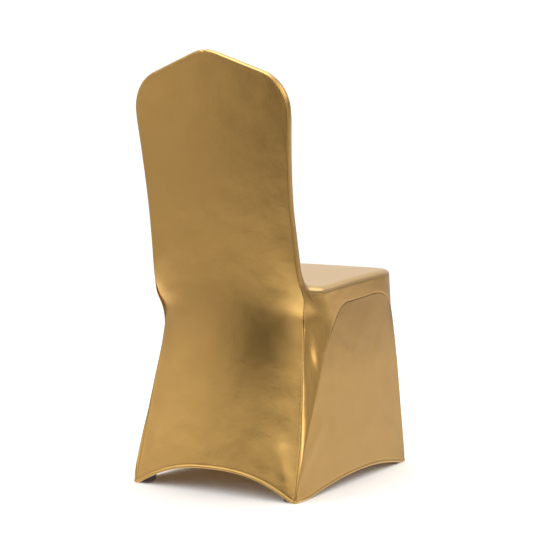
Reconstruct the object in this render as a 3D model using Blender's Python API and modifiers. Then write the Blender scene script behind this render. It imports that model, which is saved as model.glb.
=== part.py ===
"""Stretch chair cover: a hollow fitted cover of metallic stretch cloth, in the taut shape it takes on a banquet chair.

Metres, +Z up. The seat's front faces -Y, the back +Y, and x = 0 is the plane of symmetry. The floor is z = 0.
Each cut piece of cloth is stretched between seam lines, and the pieces meet along those lines.
"""

import math
from collections import defaultdict
from typing import NamedTuple

import bmesh
import bpy
import numpy as np

CLOTH = 0.0015
SEAM_GAP = 0.0003
MITRE_FADE = 0.004

# Depths below are measured from the back seam at the waist. The origin lies under the middle of the whole cover.
MIDDLE_DEPTH = -0.1754

# The back: its crown rises from two rounded shoulders to a rounded peak.
PEAK_HEIGHT = 0.945
PEAK_RADIUS = 0.081
SHOULDER_HALF_WIDTH = 0.1884
SHOULDER_HEIGHT = 0.8748
SHOULDER_RADIUS = 0.084
BACK_BOW = 0.010
EDGE_BAND = 0.014
EDGE_BULGE = 0.001
CROWN_BULGE = 0.004
WAIST_TOP = 0.50
WAIST = 0.452

# The padding: the cloth rolls over its edge by the roll's rise, then crowns towards the middle.
BACK_ROLL_RISE = 0.011
BACK_ROLL_RADIUS = 0.011
BACK_CROWN = 0.014
SEAT_ROLL_RISE = 0.012
SEAT_ROLL_RADIUS = 0.014
SEAT_CROWN = 0.003

# The hems are arched between the feet.
REAR_HEM_RISE = 0.052
FRONT_HEM_RISE = 0.050
HEM_HALF_SPAN = 0.195
HEM_ROUNDNESS = 2.4
SIDE_HEM_RISE = 0.022
SIDE_HEM_TOP = -0.235
SIDE_HEM_REAR_SPAN = 0.250
SIDE_HEM_FRONT_SPAN = 0.190
SIDE_HEM_ROUNDNESS = 2.0
SIDE_HEM_FOOT_SHARE = 0.30

# The foot pockets: open square cups that lean with the chair's legs.
POCKET_SIDE = 0.034
POCKET_HEIGHT = 0.022
POCKET_EDGE = 0.005

# Steps of the grids, shared by the pieces on both sides of each seam.
ACROSS = 16
DOWN_BACK = 10
DOWN_WAIST = 3
ROUND_CORNER = 5
ALONG_SEAT = 9
ACROSS_BAND = 3
DOWN_LEG = 12
DOWN_SEAT_SIDE = 6
SPLINE_STEPS = 24
ARC_STEPS = 12

GOLD = (0.58, 0.41, 0.17, 1.0)
SEAT_GOLD = (0.66, 0.50, 0.30, 1.0)
SIDE_GOLD = (0.55, 0.38, 0.16, 1.0)
POCKET_BROWN = (0.10, 0.06, 0.04, 1.0)


class SeamPoint(NamedTuple):
    """A point of a seam on the +X side."""

    height: float
    half_width: float
    depth: float


# The seam on each edge of the back panel, from the floor to the shoulder.
BACK_SEAM = (
    SeamPoint(0.000, 0.2025, 0.0680),
    SeamPoint(0.120, 0.1975, 0.0340),
    SeamPoint(0.240, 0.1880, 0.0060),
    SeamPoint(0.320, 0.1794, -0.0105),
    SeamPoint(0.380, 0.1773, -0.0162),
    SeamPoint(0.420, 0.1865, -0.0010),
    SeamPoint(0.450, 0.1845, 0.0134),
    SeamPoint(0.480, 0.1824, 0.0209),
    SeamPoint(0.510, 0.1808, 0.0261),
    SeamPoint(0.550, 0.1793, 0.0331),
    SeamPoint(0.620, 0.1778, 0.0457),
    SeamPoint(0.720, 0.1818, 0.0608),
    SeamPoint(0.800, 0.1878, 0.0717),
)
BAND_FOLLOWS_ABOVE = 0.47

# The seam under the seat's edge, from the waist forward to the front corner.
SEAT_SEAM = (
    SeamPoint(0.4520, 0.1855, -0.0040),
    SeamPoint(0.4380, 0.1880, -0.0140),
    SeamPoint(0.4335, 0.1950, -0.0300),
    SeamPoint(0.4325, 0.2030, -0.0500),
    SeamPoint(0.4345, 0.2045, -0.0900),
    SeamPoint(0.4395, 0.2040, -0.1740),
    SeamPoint(0.4445, 0.2020, -0.3100),
    SeamPoint(0.4445, 0.2000, -0.3500),
    SeamPoint(0.4440, 0.1915, -0.3835),
)
SEAT_CORNER_POINT = 4

# The seam under the seat's front edge, from the corner to the middle.
SEAT_FRONT = (
    SeamPoint(0.4440, 0.1915, -0.3835),
    SeamPoint(0.4445, 0.1720, -0.3940),
    SeamPoint(0.4455, 0.1000, -0.3965),
    SeamPoint(0.4460, 0.0000, -0.3980),
)

# The rear edge of the arched side panel, from the floor up the leg.
ARCH_REAR = (
    SeamPoint(0.0000, 0.2065, 0.0660),
    SeamPoint(0.0340, 0.2075, 0.0600),
    SeamPoint(0.0915, 0.2070, 0.0385),
    SeamPoint(0.1820, 0.2065, -0.0032),
    SeamPoint(0.2485, 0.2060, -0.0348),
    SeamPoint(0.2925, 0.2058, -0.0533),
)

# The arch, from there over its rear shoulder to the front leg.
ARCH_TOP = (
    SeamPoint(0.2925, 0.2058, -0.0533),
    SeamPoint(0.3290, 0.2055, -0.0730),
    SeamPoint(0.3550, 0.2050, -0.0945),
    SeamPoint(0.3780, 0.2050, -0.1125),
    SeamPoint(0.3925, 0.2050, -0.1270),
    SeamPoint(0.4015, 0.2050, -0.1500),
    SeamPoint(0.4045, 0.2050, -0.1900),
    SeamPoint(0.4075, 0.2050, -0.2450),
    SeamPoint(0.4100, 0.2050, -0.2960),
    SeamPoint(0.4065, 0.2050, -0.3250),
    SeamPoint(0.3960, 0.2045, -0.3500),
    SeamPoint(0.3760, 0.1970, -0.3810),
)
ARCH_SHOULDER_POINT = 4

# The seam down the front leg.
FRONT_LEG = (
    SeamPoint(0.3760, 0.1970, -0.3810),
    SeamPoint(0.3390, 0.1985, -0.3900),
    SeamPoint(0.2440, 0.1990, -0.4120),
    SeamPoint(0.1480, 0.2000, -0.4280),
    SeamPoint(0.0260, 0.2005, -0.4490),
    SeamPoint(0.0000, 0.2005, -0.4515),
)

# The side panel's hem as seen from above, from the rear foot to the front foot.
SIDE_HEM = (
    SeamPoint(0.0, 0.2065, 0.0660),
    SeamPoint(0.0, 0.2085, 0.0500),
    SeamPoint(0.0, 0.2085, -0.0500),
    SeamPoint(0.0, 0.2075, -0.2500),
    SeamPoint(0.0, 0.2065, -0.4250),
    SeamPoint(0.0, 0.2050, -0.4420),
    SeamPoint(0.0, 0.2005, -0.4515),
)


class Foot(NamedTuple):
    """A foot pocket's centre on the floor, and how far it leans for each metre of height."""

    place: str
    half_width: float
    depth: float
    lean: float


FEET = (
    Foot("rear", 0.1887, 0.0475, -0.28),
    Foot("front", 0.1830, -0.4310, 0.12),
)


def even(steps):
    return np.linspace(0, 1, steps + 1)


def dense_at_start(steps):
    return 1 - np.cos(even(steps) * math.pi / 2)


def dense_at_end(steps):
    return np.sin(even(steps) * math.pi / 2)


def points_of(table):
    return np.array([(row.half_width, row.depth - MIDDLE_DEPTH, row.height) for row in table])


def spline(controls):
    """A dense smooth line through the points: a centripetal Catmull-Rom spline."""
    controls = np.asarray(controls, float)
    ends = [2 * controls[0] - controls[1], *controls, 2 * controls[-1] - controls[-2]]
    line = [controls[0]]
    for before, start, end, after in zip(ends, ends[1:], ends[2:], ends[3:]):
        knot = [0.0]
        for first, second in ((before, start), (start, end), (end, after)):
            knot.append(knot[-1] + math.sqrt(np.linalg.norm(second - first)))
        for share in even(SPLINE_STEPS)[1:]:
            at = knot[1] + (knot[2] - knot[1]) * share
            near = [
                between(before, start, at, knot[0], knot[1]),
                between(start, end, at, knot[1], knot[2]),
                between(end, after, at, knot[2], knot[3]),
            ]
            earlier = between(near[0], near[1], at, knot[0], knot[2])
            later = between(near[1], near[2], at, knot[1], knot[3])
            line.append(between(earlier, later, at, knot[1], knot[2]))
    return np.array(line)


def between(start, end, at, low, high):
    """The point that a straight run from start to end has reached at a knot value between low and high."""
    return start + (end - start) * (at - low) / (high - low)


def straight(start, end, shares):
    return start + (end - start) * shares[:, None]


def sampled(line, shares):
    """Points at the given shares of a line's length."""
    lengths = np.concatenate([[0], np.cumsum(np.linalg.norm(np.diff(line, axis=0), axis=1))])
    return np.stack([np.interp(shares * lengths[-1], lengths, line[:, axis]) for axis in range(3)], axis=1)


def at_height(line, height):
    """The point of a rising line at a height."""
    return np.array([np.interp(height, line[:, 2], line[:, axis]) for axis in range(3)])


def above(line, height):
    return np.vstack([at_height(line, height), line[line[:, 2] > height]])


def below(line, height):
    return np.vstack([line[line[:, 2] < height], at_height(line, height)])


def joined(*lines):
    """Lines that follow one another, as one line."""
    return np.vstack([lines[0], *(line[1:] for line in lines[1:])])


def other_side(points):
    return points * (-1, 1, 1)


def whole_width(half):
    """A line from -X to +X, from its half that runs from the +X edge to the middle."""
    return np.vstack([other_side(half), half[-2::-1]])


def back_depth(x, z, edge):
    """The depth of the bowed back at a point, from the line of its edge. Above that line the back goes on straight."""
    slope = (BACK_SEAM[-1].depth - BACK_SEAM[-2].depth) / (BACK_SEAM[-1].height - BACK_SEAM[-2].height)
    rise = np.maximum(z - BACK_SEAM[-1].height, 0)
    half_width = np.interp(z, edge[:, 2], edge[:, 0])
    across = np.minimum(np.abs(x) / half_width, 1)
    return np.interp(z, edge[:, 2], edge[:, 1]) + slope * rise + BACK_BOW * (1 - across**2)


def crown(edge, side_bulge, top_bulge):
    """The shoulder's lower half, and the rest of the crown up to the peak, on the +X side."""
    peak = np.array([0.0, PEAK_HEIGHT + top_bulge])
    corner = np.array([SHOULDER_HALF_WIDTH + side_bulge, SHOULDER_HEIGHT + top_bulge])
    foot = np.array([BACK_SEAM[-1].half_width + side_bulge, BACK_SEAM[-1].height])
    to_peak = (peak - corner) / np.linalg.norm(peak - corner)
    to_foot = (foot - corner) / np.linalg.norm(foot - corner)
    half_angle = math.acos(to_peak @ to_foot) / 2
    middle = (to_peak + to_foot) / np.linalg.norm(to_peak + to_foot)
    centre = corner + middle * SHOULDER_RADIUS / math.sin(half_angle)
    tangents = [corner + way * SHOULDER_RADIUS / math.tan(half_angle) for way in (to_foot, to_peak)]
    start, end = (math.atan2(point[1] - centre[1], point[0] - centre[0]) for point in tangents)
    slope = math.atan2(PEAK_HEIGHT - SHOULDER_HEIGHT, SHOULDER_HALF_WIDTH)
    peak_centre = np.array([0.0, peak[1] - PEAK_RADIUS / math.cos(slope)])
    outline = arc(centre, SHOULDER_RADIUS, start, end, 2 * ARC_STEPS)
    outline += arc(peak_centre, PEAK_RADIUS, math.pi / 2 - slope, math.pi / 2, ARC_STEPS)
    line = np.array([(x, back_depth(x, z, edge), z) for x, z in outline])
    line[-1, 0] = 0
    return line[: ARC_STEPS + 1], line[ARC_STEPS:]


def arc(centre, radius, start, end, steps):
    return [centre + radius * np.array([math.cos(a), math.sin(a)]) for a in np.linspace(start, end, steps + 1)]


def level_row(edge, bow):
    """Half a row of points across the back at one height, from the edge to the middle."""
    x = edge[0] * (1 - dense_at_start(ACROSS // 2))
    return np.stack([x, edge[1] + bow * (1 - (x / edge[0]) ** 2), np.full_like(x, edge[2])], axis=1)


def arched_hem(foot, rise):
    """A hem from a foot's outer edge to the middle."""
    line = level_row(foot, 0)
    line[:, 2] += rise * np.maximum(1 - (line[:, 0] / HEM_HALF_SPAN) ** HEM_ROUNDNESS, 0)
    return line


def side_hem():
    """The side panel's hem, arched, with as many points near the rear foot as the arch's turn has."""
    line = spline(points_of(SIDE_HEM))
    behind = line[:, 1] - (SIDE_HEM_TOP - MIDDLE_DEPTH)
    ahead = np.abs(behind) / np.where(behind > 0, SIDE_HEM_REAR_SPAN, SIDE_HEM_FRONT_SPAN)
    line[:, 2] = SIDE_HEM_RISE * np.maximum(1 - ahead**SIDE_HEM_ROUNDNESS, 0)
    cut = int(SIDE_HEM_FOOT_SHARE * len(line))
    near_foot = sampled(line[: cut + 1], even(ACROSS_BAND + ROUND_CORNER))
    return joined(near_foot, sampled(line[cut:], dense_at_end(ALONG_SEAT)))


class Seams:
    """Every line along which pieces meet, or where a piece ends, on the +X side."""

    def __init__(self):
        self.edge = spline(points_of(BACK_SEAM))
        self.draw_back_edge()
        self.draw_band_edge()
        self.draw_seat()
        self.draw_skirt()

    def draw_back_edge(self):
        shoulder, top = crown(self.edge, 0, 0)
        self.rear_crown = sampled(top, dense_at_start(ACROSS // 2))
        upper = np.vstack([above(self.edge, WAIST_TOP), shoulder])
        self.rear_back = sampled(upper[::-1], dense_at_start(DOWN_BACK))
        self.rear_waist = sampled(above(below(self.edge, WAIST_TOP), WAIST)[::-1], even(DOWN_WAIST))
        self.rear_leg = sampled(below(self.edge, WAIST)[::-1], even(DOWN_LEG))

    def draw_band_edge(self):
        shoulder, top = (line - (0, EDGE_BAND, 0) for line in crown(self.edge, EDGE_BULGE, CROWN_BULGE))
        self.front_crown = sampled(top, dense_at_start(ACROSS // 2))
        followed = points_of(row for row in BACK_SEAM if row.height > BAND_FOLLOWS_ABOVE)
        line = spline(np.vstack([points_of(SEAT_SEAM[:1]), followed + (EDGE_BULGE, -EDGE_BAND, 0)]))
        upper = np.vstack([above(line, WAIST_TOP), shoulder])
        self.front_back = sampled(upper[::-1], dense_at_start(DOWN_BACK))
        self.front_waist = sampled(below(line, WAIST_TOP)[::-1], even(DOWN_WAIST))
        self.band_end = straight(self.rear_waist[-1], self.front_waist[-1], even(ACROSS_BAND))

    def draw_seat(self):
        seat = spline(points_of(SEAT_SEAM))
        cut = SPLINE_STEPS * SEAT_CORNER_POINT
        self.seat_corner = sampled(seat[: cut + 1], even(ROUND_CORNER))
        self.seat_side = sampled(seat[cut:], dense_at_end(ALONG_SEAT))
        self.seat_front = sampled(spline(points_of(SEAT_FRONT)), dense_at_start(ACROSS // 2))

    def draw_skirt(self):
        self.arch_rear = sampled(spline(points_of(ARCH_REAR))[::-1], even(DOWN_LEG))
        top = spline(points_of(ARCH_TOP))
        cut = SPLINE_STEPS * ARCH_SHOULDER_POINT
        self.arch_turn = sampled(top[: cut + 1], even(ACROSS_BAND + ROUND_CORNER))
        self.arch_top = sampled(top[cut:], dense_at_end(ALONG_SEAT))
        self.front_leg = sampled(spline(points_of(FRONT_LEG)), even(DOWN_LEG))
        self.seat_end = straight(self.seat_side[-1], self.arch_top[-1], even(DOWN_SEAT_SIDE))
        self.side_hem = side_hem()
        self.rear_hem = arched_hem(self.rear_leg[-1], REAR_HEM_RISE)
        self.front_hem = arched_hem(self.front_leg[-1], FRONT_HEM_RISE)

    def padding_edge(self):
        """The whole closed seam round the front panel."""
        half = joined(self.front_crown[::-1], self.front_back, self.front_waist, self.seat_corner)
        half = joined(half, self.seat_side, self.seat_front)
        return np.vstack([half, other_side(half)[::-1]])


def patch(top, bottom, left, right):
    """A surface between four lines that meet at their ends (a Coons patch). Its rows run from top to bottom."""
    u = even(len(top) - 1)[None, :, None]
    v = even(len(left) - 1)[:, None, None]
    rows = (1 - v) * top[None] + v * bottom[None]
    columns = (1 - u) * left[:, None] + u * right[:, None]
    corners = (1 - v) * ((1 - u) * top[0] + u * top[-1]) + v * ((1 - u) * bottom[0] + u * bottom[-1])
    grid = rows + columns - corners
    grid[0], grid[-1], grid[:, 0], grid[:, -1] = top, bottom, left, right
    return grid


def drawn_taut(grid, axis, passes=600):
    """The grid with one coordinate evened out inside its edges, as cloth lies that is stretched over nothing."""
    plan = np.delete(grid, axis, axis=2)
    down = np.linalg.norm(np.diff(plan, axis=0), axis=2)[:, 1:-1]
    over = np.linalg.norm(np.diff(plan, axis=1), axis=2)[1:-1]
    weights = []
    for one, other in ((down[:-1], down[1:]), (over[:, :-1], over[:, 1:])):
        weights += [1 / (one * (one + other)), 1 / (other * (one + other))]
    grid = grid.copy()
    level = grid[..., axis]
    for _ in range(passes):
        near = (level[:-2, 1:-1], level[2:, 1:-1], level[1:-1, :-2], level[1:-1, 2:])
        level[1:-1, 1:-1] = sum(w * value for w, value in zip(weights, near)) / sum(weights)
    return grid


def bowed_back(top, side, edge, forward):
    """The grid over the chair's back, from a crown line down to the waist, a distance forward of the back's edge."""
    row = level_row(side[-1], BACK_BOW)
    grid = patch(whole_width(top), whole_width(row), other_side(side), side)
    inside = grid[1:-1, 1:-1]
    inside[..., 1] = back_depth(inside[..., 0], inside[..., 2], edge) - forward
    return grid


def back_panel(seams):
    """The whole back: bowed over the chair's back, then drawn taut between the legs down to the rear hem."""
    upper = bowed_back(seams.rear_crown, seams.rear_back, seams.edge, 0)
    side = joined(seams.rear_waist, seams.rear_leg)
    lower = drawn_taut(patch(upper[-1], whole_width(seams.rear_hem), other_side(side), side), axis=1)
    return joined(upper, lower)


def distance_to(points, line):
    """The distance from each point to a line of points."""
    starts, runs = line[:-1], np.diff(line, axis=0)
    kept = np.linalg.norm(runs, axis=1) > 0
    starts, runs = starts[kept], runs[kept]
    offset = points[..., None, :] - starts
    share = np.clip((offset * runs).sum(-1) / (runs * runs).sum(-1), 0, 1)
    return np.linalg.norm(offset - share[..., None] * runs, axis=-1).min(-1)


def padding(distance, turn):
    """How far the cloth stands off its seam's surface, over the back's padding (turn 0) or the seat's (turn 1)."""
    rise = BACK_ROLL_RISE + (SEAT_ROLL_RISE - BACK_ROLL_RISE) * turn
    radius = BACK_ROLL_RADIUS + (SEAT_ROLL_RADIUS - BACK_ROLL_RADIUS) * turn
    crown_rise = BACK_CROWN + (SEAT_CROWN - BACK_CROWN) * turn
    edge = 1 - np.clip(distance / radius, 0, 1)
    inside = 1 - np.clip(distance / SHOULDER_HALF_WIDTH, 0, 1)
    return rise * np.sqrt(1 - edge**2) + crown_rise * (1 - inside**2)


def front_panel(seams):
    """The inside of the back and the seat's top in one piece, rounded over the padding."""
    edge = seams.padding_edge()
    back = bowed_back(seams.front_crown, seams.front_back, seams.edge, EDGE_BAND)
    side = joined(seams.front_waist, seams.seat_corner)
    shares = whole_width(level_row(np.array([1.0, 0, 0]), 0))[:, 0]
    bow = BACK_BOW * (1 - even(len(side) - 1))[:, None] * (1 - shares**2)
    crease = side[:, None] * np.ones((1, len(shares), 1))
    crease[..., 0] *= shares
    crease[..., 1] += bow
    seat = patch(crease[-1], whole_width(seams.seat_front), other_side(seams.seat_side), seams.seat_side)

    raised_crease = raised_turn(crease, distance_to(crease, edge))
    back[..., 1] -= padding(distance_to(back, edge), 0)
    seat[..., 2] += padding(distance_to(seat, edge), 1)
    return joined(back, raised_crease, seat)


def raised_turn(crease, distance):
    """The rows between the back and the seat, raised so that their middles follow one soft curve."""
    middle = crease[:, len(crease[0]) // 2]
    reach = distance.max(axis=1)
    start = middle[0] - (0, padding(reach[0], 0), 0)
    end = middle[-1] + (0, 0, padding(reach[-1], 1))
    corner = np.array([0, start[1], end[2]])
    raised = crease.copy()
    for row, turn in enumerate(even(len(crease) - 1)):
        target = start * (1 - turn) ** 2 + corner * 2 * turn * (1 - turn) + end * turn**2
        share = padding(distance[row], turn) / padding(reach[row], turn)
        raised[row] += (target - middle[row]) * share[:, None]
    return raised


def side_band(seams):
    """The band round the back's edge, and the seat's side with the gore that tapers to the rear foot, as two grids."""
    rear = joined(seams.rear_crown[::-1], seams.rear_back, seams.rear_waist)
    front = joined(seams.front_crown[::-1], seams.front_back, seams.front_waist)
    band = np.stack([straight(one, other, even(ACROSS_BAND)) for one, other in zip(rear, front)])
    band[-1] = seams.band_end
    upper = joined(seams.seat_side[::-1], seams.seat_corner[::-1], seams.band_end[::-1], seams.rear_leg)
    lower = joined(seams.arch_top[::-1], seams.arch_turn[::-1], seams.arch_rear)
    gore = np.stack([straight(one, other, even(DOWN_SEAT_SIDE)) for one, other in zip(upper, lower)])
    gore[0] = seams.seat_end
    return [band, gore]


def arch_panel(seams):
    """The arched side panel between the rear foot, the seat's side and the front foot."""
    top = joined(seams.arch_turn, seams.arch_top)
    return drawn_taut(patch(top, seams.side_hem, seams.arch_rear, seams.front_leg), axis=0)


def front_apron(seams):
    """The skirt below the seat's front edge, down to the front hem."""
    side = joined(seams.seat_end, seams.front_leg)
    top = whole_width(seams.seat_front)
    return drawn_taut(patch(top, whole_width(seams.front_hem), other_side(side), side), axis=1)


def key_of(point):
    return tuple(int(round(value * 1e6)) for value in point)


class Piece:
    """A cut piece of cloth: the points and triangles of its outer face."""

    def __init__(self, name, grids, outward, colour):
        self.name = name
        self.colour = colour
        places = {}
        self.faces = []
        for grid in grids:
            index = np.array([[places.setdefault(key_of(point), len(places)) for point in row] for row in grid])
            self.add_faces(grid, index)
        gathered = {key_of(point): point for grid in grids for row in grid for point in row}
        self.points = np.array([gathered[key] for key in places])
        if self.face_normals().sum(axis=0) @ np.array(outward) < 0:
            self.faces = [face[::-1] for face in self.faces]

    def add_faces(self, grid, index):
        """Two triangles for each cell of the grid, split along its shorter diagonal."""
        for i in range(len(index) - 1):
            for j in range(len(index[0]) - 1):
                a, b = index[i, j], index[i, j + 1]
                c, d = index[i + 1, j + 1], index[i + 1, j]
                falling = np.linalg.norm(grid[i, j] - grid[i + 1, j + 1])
                rising = np.linalg.norm(grid[i, j + 1] - grid[i + 1, j])
                if falling <= rising:
                    self.faces += [(a, b, c), (a, c, d)]
                else:
                    self.faces += [(a, b, d), (b, c, d)]

    def face_normals(self):
        corners = self.points[np.array(self.faces)]
        return np.cross(corners[:, 1] - corners[:, 0], corners[:, 2] - corners[:, 0])

    def normals(self):
        """The unit normal at each point."""
        total = np.zeros_like(self.points)
        for face, normal in zip(self.faces, self.face_normals()):
            for corner in face:
                total[corner] += normal
        return total / np.linalg.norm(total, axis=1, keepdims=True)

    def rim(self):
        """The edges that only one face has, each in that face's direction, with the face's number."""
        found = {}
        for number, face in enumerate(self.faces):
            for a, b in zip(face, face[1:] + face[:1]):
                found[a, b] = number
        return {(a, b): number for (a, b), number in found.items() if (b, a) not in found}

    def rim_walls(self):
        """Two triangles for each edge of the rim, from outer to inner points, split alike on both sides of a seam."""
        count = len(self.points)
        walls = []
        for a, b in self.rim():
            if key_of(self.points[a]) < key_of(self.points[b]):
                walls += [(b, a, a + count), (b, a + count, b + count)]
            else:
                walls += [(b, a, b + count), (a, a + count, b + count)]
        return walls

    def rim_keys(self):
        return [frozenset((key_of(self.points[a]), key_of(self.points[b]))) for a, b in self.rim()]


def balanced(directions, reach):
    """The shortest move that goes the given reach along each direction."""
    return np.linalg.pinv(np.array(directions), rcond=0.25) @ np.full(len(directions), reach)


def parted(piece, sewn_edges):
    """The piece's outer points, drawn in from each sewn edge by half the seam's gap."""
    face_normals = piece.face_normals()
    inward = defaultdict(list)
    for ((a, b), number), key in zip(piece.rim().items(), piece.rim_keys()):
        if key in sewn_edges:
            way = np.cross(face_normals[number], piece.points[b] - piece.points[a])
            inward[a].append(way / np.linalg.norm(way))
            inward[b].append(way / np.linalg.norm(way))
    outer = piece.points.copy()
    for index, ways in inward.items():
        outer[index] += balanced(ways, SEAM_GAP / 2)
    return outer


def thickness_steps(piece, normals_at):
    """The step from each outer point to its inner one: square to the cloth, and mitred where pieces meet."""
    normals = piece.normals()
    steps = -CLOTH * normals
    keys = [key_of(point) for point in piece.points]
    shared = [place for place, key in enumerate(keys) if len(normals_at[key]) > 1]
    slide = np.array([-balanced(normals_at[keys[place]], CLOTH) for place in shared]) - steps[shared]
    distance = np.linalg.norm(piece.points[:, None] - piece.points[shared][None], axis=2)
    share = 1 / np.maximum(distance, 1e-9) ** 2
    share /= share.sum(axis=1, keepdims=True)
    fade = np.exp(-distance.min(axis=1) / MITRE_FADE)
    return steps + share @ slide * fade[:, None]


def sewn(pieces):
    """The outer and inner points of each piece, by its name."""
    normals_at = defaultdict(list)
    users = defaultdict(int)
    for piece in pieces:
        for point, normal in zip(piece.points, piece.normals()):
            normals_at[key_of(point)].append(normal)
        for key in piece.rim_keys():
            users[key] += 1
    sewn_edges = {key for key, count in users.items() if count > 1}
    shapes = {}
    for piece in pieces:
        outer = parted(piece, sewn_edges)
        inner = outer + thickness_steps(piece, normals_at)
        for points in (outer, inner):
            points[:, 2] = np.maximum(points[:, 2], 0)
        shapes[piece.name] = (outer, inner)
    return shapes


def make_cloth(piece, outer, inner, collection):
    """The piece as one closed object: its outer face, its inner face, and the wall along its rim."""
    count = len(outer)
    faces = piece.faces + [tuple(corner + count for corner in face[::-1]) for face in piece.faces]
    faces += piece.rim_walls()
    mesh = bpy.data.meshes.new(piece.name)
    mesh.from_pydata(np.vstack([outer, inner]).tolist(), [], [tuple(map(int, face)) for face in faces])
    mesh.shade_smooth()
    mesh.set_sharp_from_angle(angle=math.radians(40))
    mesh.materials.append(cloth_material(piece.name, piece.colour))
    collection.objects.link(bpy.data.objects.new(piece.name, mesh))


def make_pocket(foot, side, collection):
    """A foot pocket: a square cup with rounded edges, open at the top and sheared to the leg's lean."""
    name = f"foot_pocket_{foot.place}_{'right' if side > 0 else 'left'}"
    bpy.ops.mesh.primitive_cube_add(size=1)
    cup = bpy.context.object
    cup.name = name
    shape = bmesh.new()
    shape.from_mesh(cup.data)
    bmesh.ops.translate(shape, vec=(0, 0, 0.5), verts=shape.verts)
    bmesh.ops.scale(shape, vec=(POCKET_SIDE, POCKET_SIDE, POCKET_HEIGHT), verts=shape.verts)
    bmesh.ops.delete(shape, geom=[face for face in shape.faces if face.normal.z > 0.9], context="FACES_ONLY")
    for point in shape.verts:
        point.co.y += foot.lean * point.co.z
    shape.to_mesh(cup.data)
    shape.free()
    cup.location = (side * foot.half_width, foot.depth - MIDDLE_DEPTH, 0)
    edges = cup.modifiers.new("Rounded edges", "BEVEL")
    edges.width = POCKET_EDGE
    edges.segments = 2
    wall = cup.modifiers.new("Cloth", "SOLIDIFY")
    wall.thickness = CLOTH
    wall.offset = -1
    wall.use_even_offset = True
    cup.data.materials.append(cloth_material(name, POCKET_BROWN))
    for holder in cup.users_collection:
        holder.objects.unlink(cup)
    collection.objects.link(cup)


def cloth_material(name, colour):
    """A material for one piece. The dark pockets are a plain knit, and the rest a metallic one."""
    metallic = colour != POCKET_BROWN
    made = bpy.data.materials.new(name)
    made.use_nodes = True
    shader = made.node_tree.nodes["Principled BSDF"]
    shader.inputs["Base Color"].default_value = colour
    shader.inputs["Metallic"].default_value = 0.8 if metallic else 0.0
    shader.inputs["Roughness"].default_value = 0.42 if metallic else 0.75
    return made


def cut_pieces(seams):
    pieces = [
        Piece("back_panel", [back_panel(seams)], (0, 1, 0), GOLD),
        Piece("front_panel", [front_panel(seams)], (0, -1, 1), SEAT_GOLD),
        Piece("front_apron", [front_apron(seams)], (0, -1, 0), GOLD),
    ]
    for side, place in ((1, "right"), (-1, "left")):
        band = [grid * (side, 1, 1) for grid in side_band(seams)]
        arch = arch_panel(seams) * (side, 1, 1)
        pieces.append(Piece(f"side_band_{place}", band, (side, 0, 0), GOLD))
        pieces.append(Piece(f"arch_{place}", [arch], (side, 0, 0), SIDE_GOLD))
    return pieces


def clear_scene():
    for old in list(bpy.data.objects):
        bpy.data.objects.remove(old, do_unlink=True)


def main():
    clear_scene()
    cover = bpy.data.collections.new("Stretch chair cover")
    bpy.context.scene.collection.children.link(cover)
    pieces = cut_pieces(Seams())
    shapes = sewn(pieces)
    for piece in pieces:
        make_cloth(piece, *shapes[piece.name], cover)
    for foot in FEET:
        for side in (1, -1):
            make_pocket(foot, side, cover)


main()
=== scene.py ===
"""Dressed scene of the stretch chair cover: metallic gold stretch cloth, sewn, taut over a banquet chair.

Metres, +Z up. The seat faces -Y, the back +Y, and x = 0 is the plane of symmetry. Each cut piece of cloth is
laid between its seams as a fine grid, then gets its sewn grooves, rolled hems and creases, and its thickness.
"""

import logging
import math
from collections import defaultdict
from dataclasses import dataclass, field
from enum import Enum
from typing import ClassVar, NamedTuple

import bmesh
import bpy
import numpy as np
from bpy.types import ID, Material, Mesh, Node, Object
from bpy.types import NodeSocket as Socket
from bpy.types import NodeTree as Tree
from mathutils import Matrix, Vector, noise


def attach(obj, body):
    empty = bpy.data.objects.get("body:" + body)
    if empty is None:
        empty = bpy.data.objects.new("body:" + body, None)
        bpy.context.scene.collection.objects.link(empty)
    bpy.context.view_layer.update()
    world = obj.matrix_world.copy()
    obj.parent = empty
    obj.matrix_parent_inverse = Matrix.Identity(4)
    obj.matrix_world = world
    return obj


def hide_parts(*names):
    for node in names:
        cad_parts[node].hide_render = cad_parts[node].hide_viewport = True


log = logging.getLogger("chair_cover")
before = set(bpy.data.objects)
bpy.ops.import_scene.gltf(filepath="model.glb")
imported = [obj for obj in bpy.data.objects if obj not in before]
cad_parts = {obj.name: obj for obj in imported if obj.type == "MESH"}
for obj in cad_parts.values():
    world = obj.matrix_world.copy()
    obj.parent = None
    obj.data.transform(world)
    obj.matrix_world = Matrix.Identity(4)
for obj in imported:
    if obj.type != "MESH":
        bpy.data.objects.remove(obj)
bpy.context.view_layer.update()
BODY = "root"

Points = np.ndarray
Triple = tuple[float, float, float]

# How many times its flat area the cloth covers when it is drawn over the chair.
AREA_STRETCH = 1.25


class Side(Enum):
    """A side of the cover, with the sign of its x."""

    RIGHT = 1
    LEFT = -1

    @property
    def word(self) -> str:
        """The side as it stands in a node's name."""
        return self.name.lower()


class Crowding(Enum):
    """How the points of a run of seam crowd along it."""

    EVEN = "even"
    START = "start"
    END = "end"


class SeamPoint(NamedTuple):
    """A point of a seam on the +X side. Its depth is measured from the back seam at the waist."""

    height: float
    half_width: float
    depth: float


def seam_table(*rows: Triple) -> tuple[SeamPoint, ...]:
    """A seam's points from their rows."""
    return tuple(SeamPoint(*row) for row in rows)


# The depth of the frame's origin, measured as a seam point's.
MIDDLE_DEPTH = -0.1754


def points_of(rows: tuple[SeamPoint, ...]) -> Points:
    """The points of a seam table in the frame's metres."""
    return np.array([(row.half_width, row.depth - MIDDLE_DEPTH, row.height) for row in rows])


def between(start: Points, end: Points, at: float, low: float, high: float) -> Points:
    """The point that a straight run from start to end has reached at a knot value between low and high."""
    return start + (end - start) * (at - low) / (high - low)


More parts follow.
